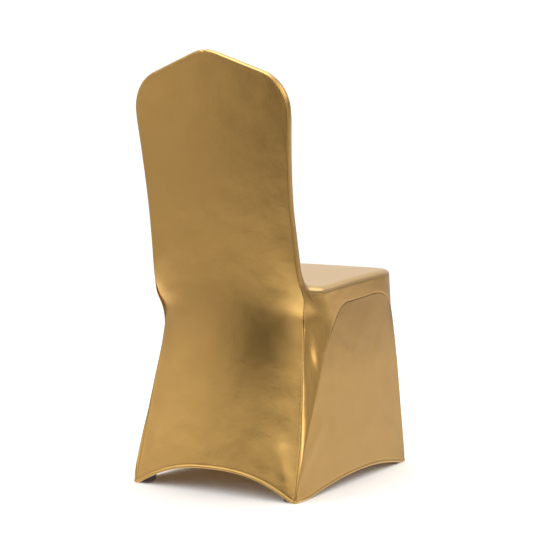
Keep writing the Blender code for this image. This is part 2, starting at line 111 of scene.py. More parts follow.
def spline(controls: Points, steps: int = 24) -> Points:
    """A dense smooth line through points, as a centripetal Catmull-Rom spline.

    Args:
        controls: The points that the line passes.
        steps: How many steps each stretch between two points takes.

    Returns:
        The line's points.
    """
    ends = [2 * controls[0] - controls[1], *controls, 2 * controls[-1] - controls[-2]]
    line = [controls[0]]
    for before, start, end, after in zip(ends, ends[1:], ends[2:], ends[3:]):
        knot = [0.0]
        for first, second in ((before, start), (start, end), (end, after)):
            knot.append(knot[-1] + math.sqrt(np.linalg.norm(second - first)))
        for share in np.linspace(0, 1, steps + 1)[1:]:
            at = knot[1] + (knot[2] - knot[1]) * share
            near = [
                between(before, start, at, knot[0], knot[1]),
                between(start, end, at, knot[1], knot[2]),
                between(end, after, at, knot[2], knot[3]),
            ]
            earlier = between(near[0], near[1], at, knot[0], knot[2])
            later = between(near[1], near[2], at, knot[1], knot[3])
            line.append(between(earlier, later, at, knot[1], knot[2]))
    return np.array(line)


def lengths_along(line: Points) -> Points:
    """The length from the line's start to each of its points."""
    return np.concatenate([[0], np.cumsum(np.linalg.norm(np.diff(line, axis=0), axis=1))])


def sampled(line: Points, shares: Points) -> Points:
    """Points at the given shares of a line's length."""
    lengths = lengths_along(line)
    return np.stack([np.interp(shares * lengths[-1], lengths, line[:, axis]) for axis in range(3)], axis=1)


def split(line: Points, share: float) -> tuple[Points, Points]:
    """The line's two parts, before and after a share of its length."""
    lengths = lengths_along(line) / lengths_along(line)[-1]
    cut = sampled(line, np.array([share]))
    return np.vstack([line[lengths < share], cut]), np.vstack([cut, line[lengths > share]])


def at_height(line: Points, height: float) -> Points:
    """The point of a rising line at a height."""
    return np.array([np.interp(height, line[:, 2], line[:, axis]) for axis in range(3)])


def above(line: Points, height: float) -> Points:
    """The part of a rising line above a height."""
    return np.vstack([at_height(line, height), line[line[:, 2] > height]])


def below(line: Points, height: float) -> Points:
    """The part of a rising line below a height."""
    return np.vstack([line[line[:, 2] < height], at_height(line, height)])


def soft_step(value: Points, low: float, high: float) -> Points:
    """0 below low, 1 above high, and a smooth rise between them."""
    share = np.clip((value - low) / (high - low), 0, 1)
    return share * share * (3 - 2 * share)


# Rows close to a sewn edge and to a hem, as distances from it.
SEWN_ROWS = (0.0004, 0.0009, 0.0015, 0.0022, 0.0033, 0.0050, 0.0078, 0.0115)
HEM_ROWS = (
    *(0.0005, 0.0012, 0.0021, 0.0031, 0.0041, 0.0050, 0.0058),
    *(0.0065, 0.0072, 0.0080, 0.0092, 0.0114, 0.0150),
)


@dataclass(frozen=True)
class Section:
    """A run of seam that pieces share, and the rows or columns that cross it.

    Args:
        weight: The run's share of a surface, as a number of broad steps.
        length: Its rough length in metres.
        step: The spacing of its rows.
        crowding: How broad steps crowd along it.
        near_start: Extra rows near its start, as distances.
        near_end: Extra rows near its end, as distances.
    """

    weight: int
    length: float
    step: float
    crowding: Crowding = Crowding.EVEN
    near_start: tuple[float, ...] = ()
    near_end: tuple[float, ...] = ()

    def shares(self) -> Points:
        """The rows' places as shares of the run's length."""
        first = self.near_start[-1] if self.near_start else 0.0
        last = self.length - (self.near_end[-1] if self.near_end else 0.0)
        middle = np.linspace(first, last, max(round((last - first) / self.step), 1) + 1)
        fine_start = [0.0, *self.near_start[:-1]] if self.near_start else []
        fine_end = [self.length - near for near in (*self.near_end[-2::-1], 0.0)] if self.near_end else []
        return np.concatenate([fine_start, middle, fine_end]) / self.length

    def places(self) -> Points:
        """The rows' places in broad steps, from 0 to the weight."""
        shares = np.clip(self.shares(), 0, 1)
        if self.crowding is Crowding.START:
            shares = np.arccos(1 - shares) * 2 / math.pi
        elif self.crowding is Crowding.END:
            shares = np.arcsin(shares) * 2 / math.pi
        return shares * self.weight

    def spread(self, places: Points) -> Points:
        """The shares of the run's length at places in broad steps."""
        turn = np.clip(places / self.weight, 0, 1)
        if self.crowding is Crowding.START:
            return 1 - np.cos(turn * math.pi / 2)
        if self.crowding is Crowding.END:
            return np.sin(turn * math.pi / 2)
        return turn


ACROSS = Section(8, 0.190, 0.0046, Crowding.START, near_start=SEWN_ROWS)
DOWN_BACK = Section(10, 0.400, 0.0052, Crowding.START, near_start=SEWN_ROWS)
DOWN_WAIST = Section(3, 0.048, 0.0040)
ROUND_CORNER = Section(5, 0.090, 0.0045)
ALONG_SEAT = Section(9, 0.280, 0.0052, Crowding.END, near_end=SEWN_ROWS)
ACROSS_BAND = Section(3, 0.014, 0.0019, near_start=SEWN_ROWS[:5], near_end=SEWN_ROWS[:5])
DOWN_LEG = Section(12, 0.440, 0.0050, near_start=SEWN_ROWS, near_end=HEM_ROWS)
DOWN_SEAT_SIDE = Section(6, 0.040, 0.0034, near_start=SEWN_ROWS[:7], near_end=SEWN_ROWS[:7])


def row_places(*sections: Section) -> Points:
    """The rows' places along sections that follow one another, from 0 to their whole weight.

    Args:
        sections: The sections in order.

    Returns:
        The places.
    """
    places, done = [np.zeros(1)], 0
    for section in sections:
        places.append(section.places()[1:] + done)
        done += section.weight
    return np.concatenate(places)


class Path:
    """A line of runs that follow one another, each with its section."""

    def __init__(self, *runs: tuple[Points, Section, bool]):
        """Takes each run's points, its section, and whether it is passed backwards."""
        self.runs = list(runs)

    def __add__(self, other: "Path") -> "Path":
        """This path, then the other one."""
        return Path(*self.runs, *other.runs)

    @property
    def weight(self) -> int:
        """The path's whole weight in broad steps."""
        return sum(section.weight for _, section, _ in self.runs)

    def backwards(self) -> "Path":
        """The path passed from its end to its start."""
        return Path(*((line, section, not back) for line, section, back in reversed(self.runs)))

    def mirrored(self) -> "Path":
        """The path on the other side of x = 0."""
        return Path(*((line * (-1, 1, 1), section, back) for line, section, back in self.runs))

    def whole_width(self) -> "Path":
        """The path from -X to +X, where this is its half from the +X edge to the middle."""
        return self.mirrored() + self.backwards()

    def sample(self, places: Points) -> Points:
        """The path's points at places in broad steps.

        Args:
            places: Places from 0 to the path's weight, rising.

        Returns:
            One point for each place.
        """
        found = np.zeros((len(places), 3))
        done = 0
        for line, section, back in self.runs:
            here = (places >= done - 1e-9) & (places <= done + section.weight + 1e-9)
            own = places[here] - done
            own = section.weight - own if back else own
            found[here] = sampled(line, section.spread(own))
            done += section.weight
        return found


def run(line: Points, section: Section) -> Path:
    """A path of one run."""
    return Path((line, section, False))


@dataclass
class CoverShape:
    """The driving sizes of the cover in its stretched shape, and its seams on the +X side."""

    peak_height: float = 0.945
    peak_radius: float = 0.081
    shoulder_half_width: float = 0.1884
    shoulder_height: float = 0.8748
    shoulder_radius: float = 0.084
    back_bow: float = 0.010
    edge_band: float = 0.014
    edge_bulge: float = 0.001
    crown_bulge: float = 0.004
    waist_top: float = 0.50
    waist: float = 0.452
    rear_hem_rise: float = 0.052
    front_hem_rise: float = 0.050
    hem_half_span: float = 0.195
    hem_roundness: float = 2.4
    hem_rounding: float = 0.05
    side_hem_rise: float = 0.022
    side_hem_top: float = -0.235
    side_hem_spans: tuple[float, float] = (0.250, 0.190)
    back_seam: tuple[SeamPoint, ...] = seam_table(
        (0.000, 0.2025, 0.0680), (0.120, 0.1975, 0.0340), (0.240, 0.1880, 0.0060),
        (0.320, 0.1794, -0.0105), (0.380, 0.1773, -0.0162), (0.420, 0.1865, -0.0010),
        (0.450, 0.1845, 0.0134), (0.480, 0.1824, 0.0209), (0.510, 0.1808, 0.0261),
        (0.550, 0.1793, 0.0331), (0.620, 0.1778, 0.0457), (0.720, 0.1818, 0.0608),
        (0.800, 0.1878, 0.0717),
    )
    band_follows_above: float = 0.47
    seat_seam: tuple[SeamPoint, ...] = seam_table(
        (0.4520, 0.1855, -0.0040), (0.4380, 0.1880, -0.0140), (0.4335, 0.1950, -0.0300),
        (0.4325, 0.2030, -0.0500), (0.4345, 0.2045, -0.0900), (0.4395, 0.2040, -0.1740),
        (0.4445, 0.2020, -0.3100), (0.4445, 0.2000, -0.3500), (0.4440, 0.1915, -0.3835),
    )
    seat_corner_point: int = 4
    seat_front: tuple[SeamPoint, ...] = seam_table(
        (0.4440, 0.1915, -0.3835), (0.4445, 0.1720, -0.3940), (0.4455, 0.1000, -0.3965),
        (0.4460, 0.0000, -0.3980),
    )
    arch_rear: tuple[SeamPoint, ...] = seam_table(
        (0.0000, 0.2065, 0.0660), (0.0340, 0.2075, 0.0600), (0.0915, 0.2070, 0.0385),
        (0.1820, 0.2065, -0.0032), (0.2485, 0.2060, -0.0348), (0.2925, 0.2058, -0.0533),
    )
    arch_top: tuple[SeamPoint, ...] = seam_table(
        (0.2925, 0.2058, -0.0533), (0.3290, 0.2055, -0.0730), (0.3550, 0.2050, -0.0945),
        (0.3780, 0.2050, -0.1125), (0.3925, 0.2050, -0.1270), (0.4015, 0.2050, -0.1500),
        (0.4045, 0.2050, -0.1900), (0.4075, 0.2050, -0.2450), (0.4100, 0.2050, -0.2960),
        (0.4065, 0.2050, -0.3250), (0.3960, 0.2045, -0.3500), (0.3760, 0.1970, -0.3810),
    )
    arch_shoulder_point: int = 4
    front_leg_seam: tuple[SeamPoint, ...] = seam_table(
        (0.3760, 0.1970, -0.3810), (0.3390, 0.1985, -0.3900), (0.2440, 0.1990, -0.4120),
        (0.1480, 0.2000, -0.4280), (0.0260, 0.2005, -0.4490), (0.0000, 0.2005, -0.4515),
    )
    side_hem_plan: tuple[SeamPoint, ...] = seam_table(
        (0.0, 0.2065, 0.0660), (0.0, 0.2085, 0.0500), (0.0, 0.2085, -0.0500),
        (0.0, 0.2075, -0.2500), (0.0, 0.2065, -0.4250), (0.0, 0.2050, -0.4420),
        (0.0, 0.2005, -0.4515),
    )
    side_hem_foot_share: float = 0.30
    spline_steps: int = 24
    arc_steps: int = 24
    level_points: int = 65

    def __post_init__(self) -> None:
        """Draws every seam once."""
        self.edge = spline(points_of(self.back_seam))
        self._draw_back_edge()
        self._draw_band_edge()
        self._draw_seat()
        self._draw_skirt()

    def back_depth(self, x: Points, z: Points) -> Points:
        """The depth of the bowed back at points. Above its seam's table the back goes on straight.

        Args:
            x: Distances from the middle.
            z: Heights.

        Returns:
            The depths.
        """
        top, second = self.back_seam[-1], self.back_seam[-2]
        slope = (top.depth - second.depth) / (top.height - second.height)
        half_width = np.interp(z, self.edge[:, 2], self.edge[:, 0])
        across = np.minimum(np.abs(x) / half_width, 1)
        straight_on = slope * np.maximum(z - top.height, 0)
        return np.interp(z, self.edge[:, 2], self.edge[:, 1]) + straight_on + self.back_bow * (1 - across**2)

    def crown(self, side_bulge: float, top_bulge: float) -> tuple[Points, Points]:
        """The crown's line: an arc round the shoulder, a straight slope, and an arc over the peak.

        Args:
            side_bulge: How far the shoulder stands out past the back seam.
            top_bulge: How far the crown stands up past it.

        Returns:
            The shoulder's lower half, and the rest up to the peak.
        """
        peak = np.array([0.0, self.peak_height + top_bulge])
        corner = np.array([self.shoulder_half_width + side_bulge, self.shoulder_height + top_bulge])
        foot = np.array([self.back_seam[-1].half_width + side_bulge, self.back_seam[-1].height])
        to_peak = (peak - corner) / np.linalg.norm(peak - corner)
        to_foot = (foot - corner) / np.linalg.norm(foot - corner)
        half_angle = math.acos(to_peak @ to_foot) / 2
        middle = (to_peak + to_foot) / np.linalg.norm(to_peak + to_foot)
        centre = corner + middle * self.shoulder_radius / math.sin(half_angle)
        reach = self.shoulder_radius / math.tan(half_angle)
        start, end = (math.atan2(*(corner + way * reach - centre)[::-1]) for way in (to_foot, to_peak))
        slope = math.atan2(self.peak_height - self.shoulder_height, self.shoulder_half_width)
        peak_centre = np.array([0.0, peak[1] - self.peak_radius / math.cos(slope)])
        outline = arc(centre, self.shoulder_radius, start, end, 2 * self.arc_steps)
        outline += arc(peak_centre, self.peak_radius, math.pi / 2 - slope, math.pi / 2, self.arc_steps)
        x, z = np.array(outline).T
        line = np.stack([x, self.back_depth(x, z), z], axis=1)
        line[-1, 0] = 0
        return line[: self.arc_steps + 1], line[self.arc_steps :]

    def level_row(self, edge: Points, bow: float) -> Points:
        """Half a row across the back at one height, from the edge to the middle."""
        x = edge[0] * np.linspace(1, 0, self.level_points)
        return np.stack([x, edge[1] + bow * (1 - (x / edge[0]) ** 2), np.full_like(x, edge[2])], axis=1)

    def arched_hem(self, foot: Points, rise: float) -> Path:
        """A hem from a foot's outer edge to the middle, rounded where it leaves the floor."""
        line = self.level_row(foot, 0)
        share = 1 - (line[:, 0] / self.hem_half_span) ** self.hem_roundness
        line[:, 2] += rise * (share + np.sqrt(share**2 + self.hem_rounding**2)) / 2
        line[:, 2] -= line[0, 2]
        return run(line, ACROSS)

    def side_hem_path(self) -> Path:
        """The side panel's hem, arched from foot to foot."""
        line = spline(points_of(self.side_hem_plan))
        behind = line[:, 1] - (self.side_hem_top - MIDDLE_DEPTH)
        ahead = np.abs(behind) / np.where(behind > 0, *self.side_hem_spans)
        line[:, 2] = self.side_hem_rise * np.maximum(1 - ahead**2, 0)
        cut = int(self.side_hem_foot_share * len(line))
        return self._turn(line[: cut + 1]) + run(line[cut:], ALONG_SEAT)

    def _turn(self, line: Points) -> Path:
        """A line that faces the band's end and the seat's rear corner."""
        band, corner = split(line, ACROSS_BAND.weight / (ACROSS_BAND.weight + ROUND_CORNER.weight))
        return run(band, ACROSS_BAND) + run(corner, ROUND_CORNER)

    def _draw_back_edge(self) -> None:
        """The seam round the back panel."""
        shoulder, top = self.crown(0, 0)
        upper = np.vstack([above(self.edge, self.waist_top), shoulder[1:]])
        self.rear_crown = run(top, ACROSS)
        self.rear_back = run(upper[::-1], DOWN_BACK)
        self.rear_waist = run(above(below(self.edge, self.waist_top), self.waist)[::-1], DOWN_WAIST)
        self.rear_leg = run(below(self.edge, self.waist)[::-1], DOWN_LEG)

    def _draw_band_edge(self) -> None:
        """The seam between the band and the front panel."""
        lines = self.crown(self.edge_bulge, self.crown_bulge)
        shoulder, top = (line - (0, self.edge_band, 0) for line in lines)
        followed = points_of(tuple(row for row in self.back_seam if row.height > self.band_follows_above))
        followed += (self.edge_bulge, -self.edge_band, 0)
        line = spline(np.vstack([points_of(self.seat_seam[:1]), followed]))
        upper = np.vstack([above(line, self.waist_top), shoulder[1:]])
        self.front_crown = run(top, ACROSS)
        self.front_back = run(upper[::-1], DOWN_BACK)
        self.front_waist = run(below(line, self.waist_top)[::-1], DOWN_WAIST)
        ends = np.vstack([at_height(self.edge, self.waist), line[0]])
        self.band_end = run(ends, ACROSS_BAND)

    def _draw_seat(self) -> None:
        """The seam under the seat's edge."""
        seat = spline(points_of(self.seat_seam))
        cut = self.spline_steps * self.seat_corner_point
        self.seat_corner = run(seat[: cut + 1], ROUND_CORNER)
        self.seat_side = run(seat[cut:], ALONG_SEAT)
        self.seat_front_edge = run(spline(points_of(self.seat_front)), ACROSS)

    def _draw_skirt(self) -> None:
        """The seams round the arched side panel, and the hems."""
        self.arch_rear_edge = run(spline(points_of(self.arch_rear))[::-1], DOWN_LEG)
        top = spline(points_of(self.arch_top))
        cut = self.spline_steps * self.arch_shoulder_point
        self.arch_turn = self._turn(top[: cut + 1])
        self.arch_top_edge = run(top[cut:], ALONG_SEAT)
        self.front_leg = run(spline(points_of(self.front_leg_seam)), DOWN_LEG)
        seat_end = np.vstack([points_of(self.seat_seam)[-1], points_of(self.arch_top)[-1]])
        self.seat_end = run(seat_end, DOWN_SEAT_SIDE)
        self.side_hem = self.side_hem_path()
        self.rear_hem = self.arched_hem(points_of(self.back_seam)[0], self.rear_hem_rise)
        self.front_hem = self.arched_hem(points_of(self.front_leg_seam)[-1], self.front_hem_rise)


def arc(centre: Points, radius: float, start: float, end: float, steps: int) -> list[Points]:
    """Points along an arc in the plane of the back."""
    turns = np.linspace(start, end, steps + 1)
    return [centre + radius * np.array([math.cos(turn), math.sin(turn)]) for turn in turns]


def length_shares(one: Path, other: Path, places: Points) -> Points:
    """How far places are along two facing paths, as mean shares of their lengths."""
    lengths = [lengths_along(path.sample(places)) for path in (one, other)]
    return sum(length / length[-1] for length in lengths) / 2


class Sides(NamedTuple):
    """The four paths round a patch: its first and last row, and its first and last column."""

    top: Path
    bottom: Path
    left: Path
    right: Path

    def shares(self, columns: Points, rows: Points) -> tuple[Points, Points]:
        """The columns' and rows' shares of the patch, by length."""
        return length_shares(self.top, self.bottom, columns), length_shares(self.left, self.right, rows)


def coons(lines: list[Points], shares: tuple[Points, Points]) -> Points:
    """A surface between four lines that meet at their ends.

    Args:
        lines: The first row, the last row, the first column and the last column.
        shares: The columns' and the rows' shares of the surface.

    Returns:
        The grid's points, row by row.
    """
    top, bottom, left, right = lines
    u, v = shares[0][None, :, None], shares[1][:, None, None]
    corners = (1 - v) * ((1 - u) * top[0] + u * top[-1]) + v * ((1 - u) * bottom[0] + u * bottom[-1])
    grid = (1 - v) * top[None] + v * bottom[None] + (1 - u) * left[:, None] + u * right[:, None] - corners
    grid[0], grid[-1], grid[:, 0], grid[:, -1] = lines
    return grid


def patch(sides: Sides, columns: Points, rows: Points, shares: tuple[Points, Points]) -> Points:
    """A surface between four paths, at given places.

    Args:
        sides: The paths.
        columns: The places of the columns.
        rows: The places of the rows.
        shares: The columns' and rows' shares of the patch.

    Returns:
        The grid's points, row by row.
    """
    top, bottom, left, right = sides
    return coons([top.sample(columns), bottom.sample(columns), left.sample(rows), right.sample(rows)], shares)


def evened(grid: Points, axis: int, passes: int = 2500) -> Points:
    """The grid's coordinates on one axis when the sheet is drawn taut inside its edges."""
    plan = np.delete(grid, axis, axis=2)
    down = np.linalg.norm(np.diff(plan, axis=0), axis=2)[:, 1:-1]
    over = np.linalg.norm(np.diff(plan, axis=1), axis=2)[1:-1]
    weights = []
    for one, other in ((down[:-1], down[1:]), (over[:, :-1], over[:, 1:])):
        weights += [1 / (one * (one + other)), 1 / (other * (one + other))]
    level = grid[..., axis].copy()
    for _ in range(passes):
        near = (level[:-2, 1:-1], level[2:, 1:-1], level[1:-1, :-2], level[1:-1, 2:])
        level[1:-1, 1:-1] = sum(w * value for w, value in zip(weights, near)) / sum(weights)
    return level


def smooth_rows(values: Points, known: Points, wanted: Points) -> Points:
    """Values between known rows, by a cubic curve through them.

    Args:
        values: The values in the known rows.
        known: The known rows' lengths from the first.
        wanted: The wanted rows' lengths.

    Returns:
        The values in the wanted rows.
    """
    steps = np.diff(known)[:, None]
    slopes = np.diff(values, axis=0) / steps
    inner = (slopes[:-1] * steps[1:] + slopes[1:] * steps[:-1]) / (steps[:-1] + steps[1:])
    slopes = np.vstack([slopes[:1], inner, slopes[-1:]])
    index = np.clip(np.searchsorted(known, wanted, side="right") - 1, 0, len(known) - 2)
    share = ((wanted - known[index]) / steps[index, 0])[:, None]
    rise, fall = slopes[index] * steps[index], slopes[index + 1] * steps[index]
    cubic = (2 * share**3 - 3 * share**2 + 1) * values[index] + (share**3 - 2 * share**2 + share) * rise
    return cubic + (3 * share**2 - 2 * share**3) * values[index + 1] + (share**3 - share**2) * fall


# How quickly a patch leaves its edges' own fine shape for its smooth inside.
EDGE_EASE = 8


def taut_patch(sides: Sides, columns: Points, rows: Points, axis: int) -> Points:
    """A patch drawn taut: solved on a broad grid, then laid smoothly on the fine one.

    Args:
        sides: The paths round it.
        columns: The places of the columns.
        rows: The places of the rows.
        axis: The coordinate that the pull evens out.

    Returns:
        The grid's points.
    """
    shares = sides.shares(columns, rows)
    grid = patch(sides, columns, rows, shares)
    plan = np.delete(grid, axis, axis=2)
    fine = (lengths_along(plan[len(rows) // 2]), lengths_along(plan[:, len(columns) // 2]))
    broad = [np.linspace(0, places[-1], 2 * int(places[-1]) + 1) for places in (columns, rows)]
    ways = list(zip(broad, (columns, rows), shares, fine))
    broad_shares = [np.interp(wide, places, share) for wide, places, share, _ in ways]
    known = [np.interp(wide, places, length) for wide, places, _, length in ways]
    level = evened(patch(sides, *broad, broad_shares), axis)
    level = smooth_rows(level, known[1], fine[1])
    level = smooth_rows(level.T, known[0], fine[0]).T
    missed = grid[..., axis] - level
    u, v = shares[0][None], shares[1][:, None]
    level += missed[:, :1] * (1 - u) ** EDGE_EASE + missed[:, -1:] * u**EDGE_EASE
    level += missed[:1] * (1 - v) ** EDGE_EASE + missed[-1:] * v**EDGE_EASE
    grid[1:-1, 1:-1, axis] = level[1:-1, 1:-1]
    return grid


def whole_width_places() -> Points:
    """The places of the columns from -X to +X."""
    half = row_places(ACROSS)
    return np.concatenate([half, 2 * ACROSS.weight - half[-2::-1]])


# How many points are measured at a time.
BLOCK = 400


def nearest_on(points: Points, starts: Points, ends: Points) -> tuple[Points, Points, Points]:
    """The nearest place on straight runs to each point.

    Args:
        points: The points.
        starts: Where each run starts.
        ends: Where each run ends.

    Returns:
        The distances, the numbers of the runs, and the shares along them.
    """
    runs = ends - starts
    squares = np.maximum((runs * runs).sum(-1), 1e-18)
    distance, number, share = np.empty(len(points)), np.empty(len(points), int), np.empty(len(points))
    for first in range(0, len(points), BLOCK):
        block = slice(first, first + BLOCK)
        offset = points[block, None] - starts
        along = np.clip((offset * runs).sum(-1) / squares, 0, 1)
        away = np.linalg.norm(offset - along[..., None] * runs, axis=-1)
        best = away.argmin(1)
        rows = np.arange(len(best))
        distance[block], number[block], share[block] = away[rows, best], best, along[rows, best]
    return distance, number, share


def distance_to_line(grid: Points, line: Points) -> Points:
    """The distance from each point of a grid to a line."""
    kept = np.linalg.norm(np.diff(line, axis=0), axis=1) > 1e-9
    return nearest_on(grid.reshape(-1, 3), line[:-1][kept], line[1:][kept])[0].reshape(grid.shape[:2])


@dataclass(frozen=True)
class Padding:
    """How the cloth rolls over the padding's edge, then crowns towards the middle."""

    roll_rise: float
    roll_radius: float
    crown_rise: float
    reach: float = 0.1884

    def height(self, distance: Points) -> Points:
        """How far the cloth stands off its seam's surface at distances from the seam."""
        edge = 1 - np.clip(distance / self.roll_radius, 0, 1)
        inside = 1 - np.clip(distance / self.reach, 0, 1)
        return self.roll_rise * np.sqrt(1 - edge**2) + self.crown_rise * (1 - inside**2)

    def towards(self, other: "Padding", turn: float) -> "Padding":
        """The padding between this one and another, at a share of the way."""
        mixed = (a + (b - a) * turn for a, b in zip(self.sizes(), other.sizes()))
        return Padding(*mixed)

    def sizes(self) -> Triple:
        """The roll's rise and radius, and the crown's rise."""
        return self.roll_rise, self.roll_radius, self.crown_rise


# How many steps a crease is followed in, and how it tapers: the shares of its length, and the taper's power.
CREASE_STEPS = 16
TAPER_ENDS = (0.02, 0.98)
TAPER_POWER = 0.6


@dataclass(frozen=True)
class Crease:
    """A soft trough or ridge in the cloth, from one point to another.

    Args:
        start: Where it starts, near the cloth.
        end: Where it runs out.
        width: Its half width.
        height: How far it stands out, or in where it is negative.
        bend: How far its middle is bent aside.
    """

    start: Triple
    end: Triple
    width: float
    height: float
    bend: Triple = (0.0, 0.0, 0.0)

    def mirrored(self, strength: float) -> "Crease":
        """The crease on the other side, a little stronger or weaker."""
        flip = [tuple(np.array(point) * (-1, 1, 1)) for point in (self.start, self.end, self.bend)]
        return Crease(flip[0], flip[1], self.width, self.height * strength, flip[2])

    def raised(self, points: Points) -> Points:
        """How far the crease raises the cloth at points."""
        start, end = np.array(self.start), np.array(self.end)
        share = np.linspace(0, 1, CREASE_STEPS + 1)[:, None]
        line = start + (end - start) * share + np.array(self.bend) * 4 * share * (1 - share)
        distance, number, along = nearest_on(points, line[:-1], line[1:])
        place = (number + along) / (len(line) - 1)
        taper = np.sin(np.pi * np.clip(place, *TAPER_ENDS)) ** TAPER_POWER
        return self.height * taper * np.exp(-((distance / self.width) ** 2))


@dataclass(frozen=True)
class Sewing:
    """The small sizes of sewn cloth, in metres where they aren't shares or powers.

    A puff is placed and broadened in groove widths. A hem fades inside and outside its width. Full pieces are
    flatter below the band's foot.
    """

    cloth: float = 0.0012
    seam_gap: float = 0.00024
    groove_depth: float = 0.0009
    groove_width: float = 0.0013
    groove_power: float = 1.6
    puff_height: float = 0.00012
    puff_place: float = 2.4
    puff_width: float = 1.3
    seam_lean: float = 0.006
    mitre_reach: float = 0.003
    hem_width: float = 0.0066
    hem_bulge: float = 0.0010
    hem_padding: float = 0.9
    hem_fade: tuple[float, float] = (0.0004, 0.0008)
    hem_curl: float = 0.0007
    curl_width: float = 0.0015
    stitch_line: float = 0.0072
    stitch_dip: float = 0.0005
    stitch_width: float = 0.0009
    foot_round: float = 0.0050
    foot_spread: tuple[float, float] = (0.035, 0.060)
    floor_gap: float = 0.0002
    full_width: float = 0.0070
    low_fullness: float = 0.25
    band_foot: float = 0.45
    band_foot_rise: float = 0.05
    seam_shade: float = 0.0015
    seam_core: float = 0.0003
    unevenness: float = 0.00045
    uneven_length: float = 0.045
    fine_unevenness: float = 0.3
    fine_times: float = 2.7
    relief_ease: float = 0.009


SEWING = Sewing()


@dataclass
class Cut:
    """A cut piece of cloth: its grid of points, its faces, and where it is sewn.

    Args:
        node: The solid that it stands for.
        grids: Its surfaces, welded where they share points.
        outward: Roughly the way that its outer face looks.
        creases: Its main folds.
        fullness: How far it stands out between its seams.
    """

    node: str
    grids: list[Points]
    outward: Triple
    creases: list[Crease] = field(default_factory=list)
    fullness: float = 0.0

    def __post_init__(self) -> None:
        """Welds the grids, and turns the faces outward."""
        places: dict[tuple, int] = {}
        quads, coordinates, flat = [], [], []
        for grid in self.grids:
            index = np.empty(grid.shape[:2], int)
            laid = self._laid_flat(grid)
            for at in np.ndindex(*grid.shape[:2]):
                key = key_of(grid[at])
                if key not in places:
                    places[key] = len(coordinates)
                    coordinates.append(grid[at])
                    flat.append(laid[at])
                index[at] = places[key]
            corners = (index[:-1, :-1], index[:-1, 1:], index[1:, 1:], index[1:, :-1])
            quads.append(np.stack(corners, -1).reshape(-1, 4))
        self.points, self.flat, self.places = np.array(coordinates), np.array(flat), places
        self.quads = self._sound(np.vstack(quads))
        self.keys = [key_of(point) for point in self.points]
        if self.face_normals(self.points).sum(0) @ np.array(self.outward) < 0:
            self.quads = self.quads[:, ::-1]
        self.normals = self.point_normals(self.points)
        self.rim = self._rim()

    def _laid_flat(self, grid: Points) -> Points:
        """The cloth's own coordinates in metres: across along each row, and down the middle column."""
        steps = np.linalg.norm(np.diff(grid, axis=1), axis=2)
        across = np.concatenate([np.zeros((len(grid), 1)), np.cumsum(steps, 1)], 1)
        middle = grid.shape[1] // 2
        down = np.broadcast_to(lengths_along(grid[:, middle])[:, None], across.shape)
        return np.stack([across - across[:, middle : middle + 1], down], -1)

    @staticmethod
    def _sound(quads: Points) -> Points:
        """The faces whose four corners differ."""
        ordered = np.sort(quads, axis=1)
        return quads[(np.diff(ordered, axis=1) > 0).all(1)]

    def face_normals(self, points: Points) -> Points:
        """The area-weighted normal of each face."""
        corners = points[self.quads]
        return np.cross(corners[:, 2] - corners[:, 0], corners[:, 3] - corners[:, 1]) / 2

    def row(self, number: int) -> Points:
        """The points of a row of the first grid."""
        return np.array([self.places[key_of(point)] for point in self.grids[0][number]])

    def area(self) -> float:
        """The area of the cloth in its stretched shape."""
        return float(np.linalg.norm(self.face_normals(self.points), axis=1).sum())

    def point_normals(self, points: Points) -> Points:
        """The unit normal at each point."""
        total = np.zeros_like(points)
        for corner in range(4):
            np.add.at(total, self.quads[:, corner], self.face_normals(points))
        return total / np.maximum(np.linalg.norm(total, axis=1, keepdims=True), 1e-12)

    def _rim(self) -> list[tuple[int, int, int]]:
        """Each edge that only one face has, with that face's number."""
        found = {}
        for number, face in enumerate(self.quads.tolist()):
            for a, b in zip(face, face[1:] + face[:1]):
                found[a, b] = number
        return [(a, b, number) for (a, b), number in found.items() if (b, a) not in found]


# Steps of a hundredth of a millimetre in a metre.
KEY_STEPS = 1e5


def key_of(point: Points) -> tuple[int, int, int]:
    """A point rounded to hundredths of a millimetre, to find the same point in another piece."""
    return tuple(int(round(value * KEY_STEPS)) for value in point)


def sewn_runs(cuts: list[Cut]) -> tuple[dict, dict, dict]:
    """Finds where the pieces are sewn together.

    Args:
        cuts: Every cut piece.

    Returns:
        The mean normal at each shared point, the number of pieces on each rim edge, and each mitre's reach.
    """
    normals, users = defaultdict(list), defaultdict(int)
    for cut in cuts:
        for a, b, _ in cut.rim:
            users[frozenset((cut.keys[a], cut.keys[b]))] += 1
        for index in {end for a, b, _ in cut.rim for end in (a, b)}:
            normals[cut.keys[index]].append(cut.normals[index])
    mean, reach = {}, {}
    for key, ways in normals.items():
        total = np.sum(ways, axis=0)
        mean[key] = total / np.linalg.norm(total)
        reach[key] = 1 / max(np.mean([mean[key] @ way for way in ways]), 0.5)
    return mean, users, reach


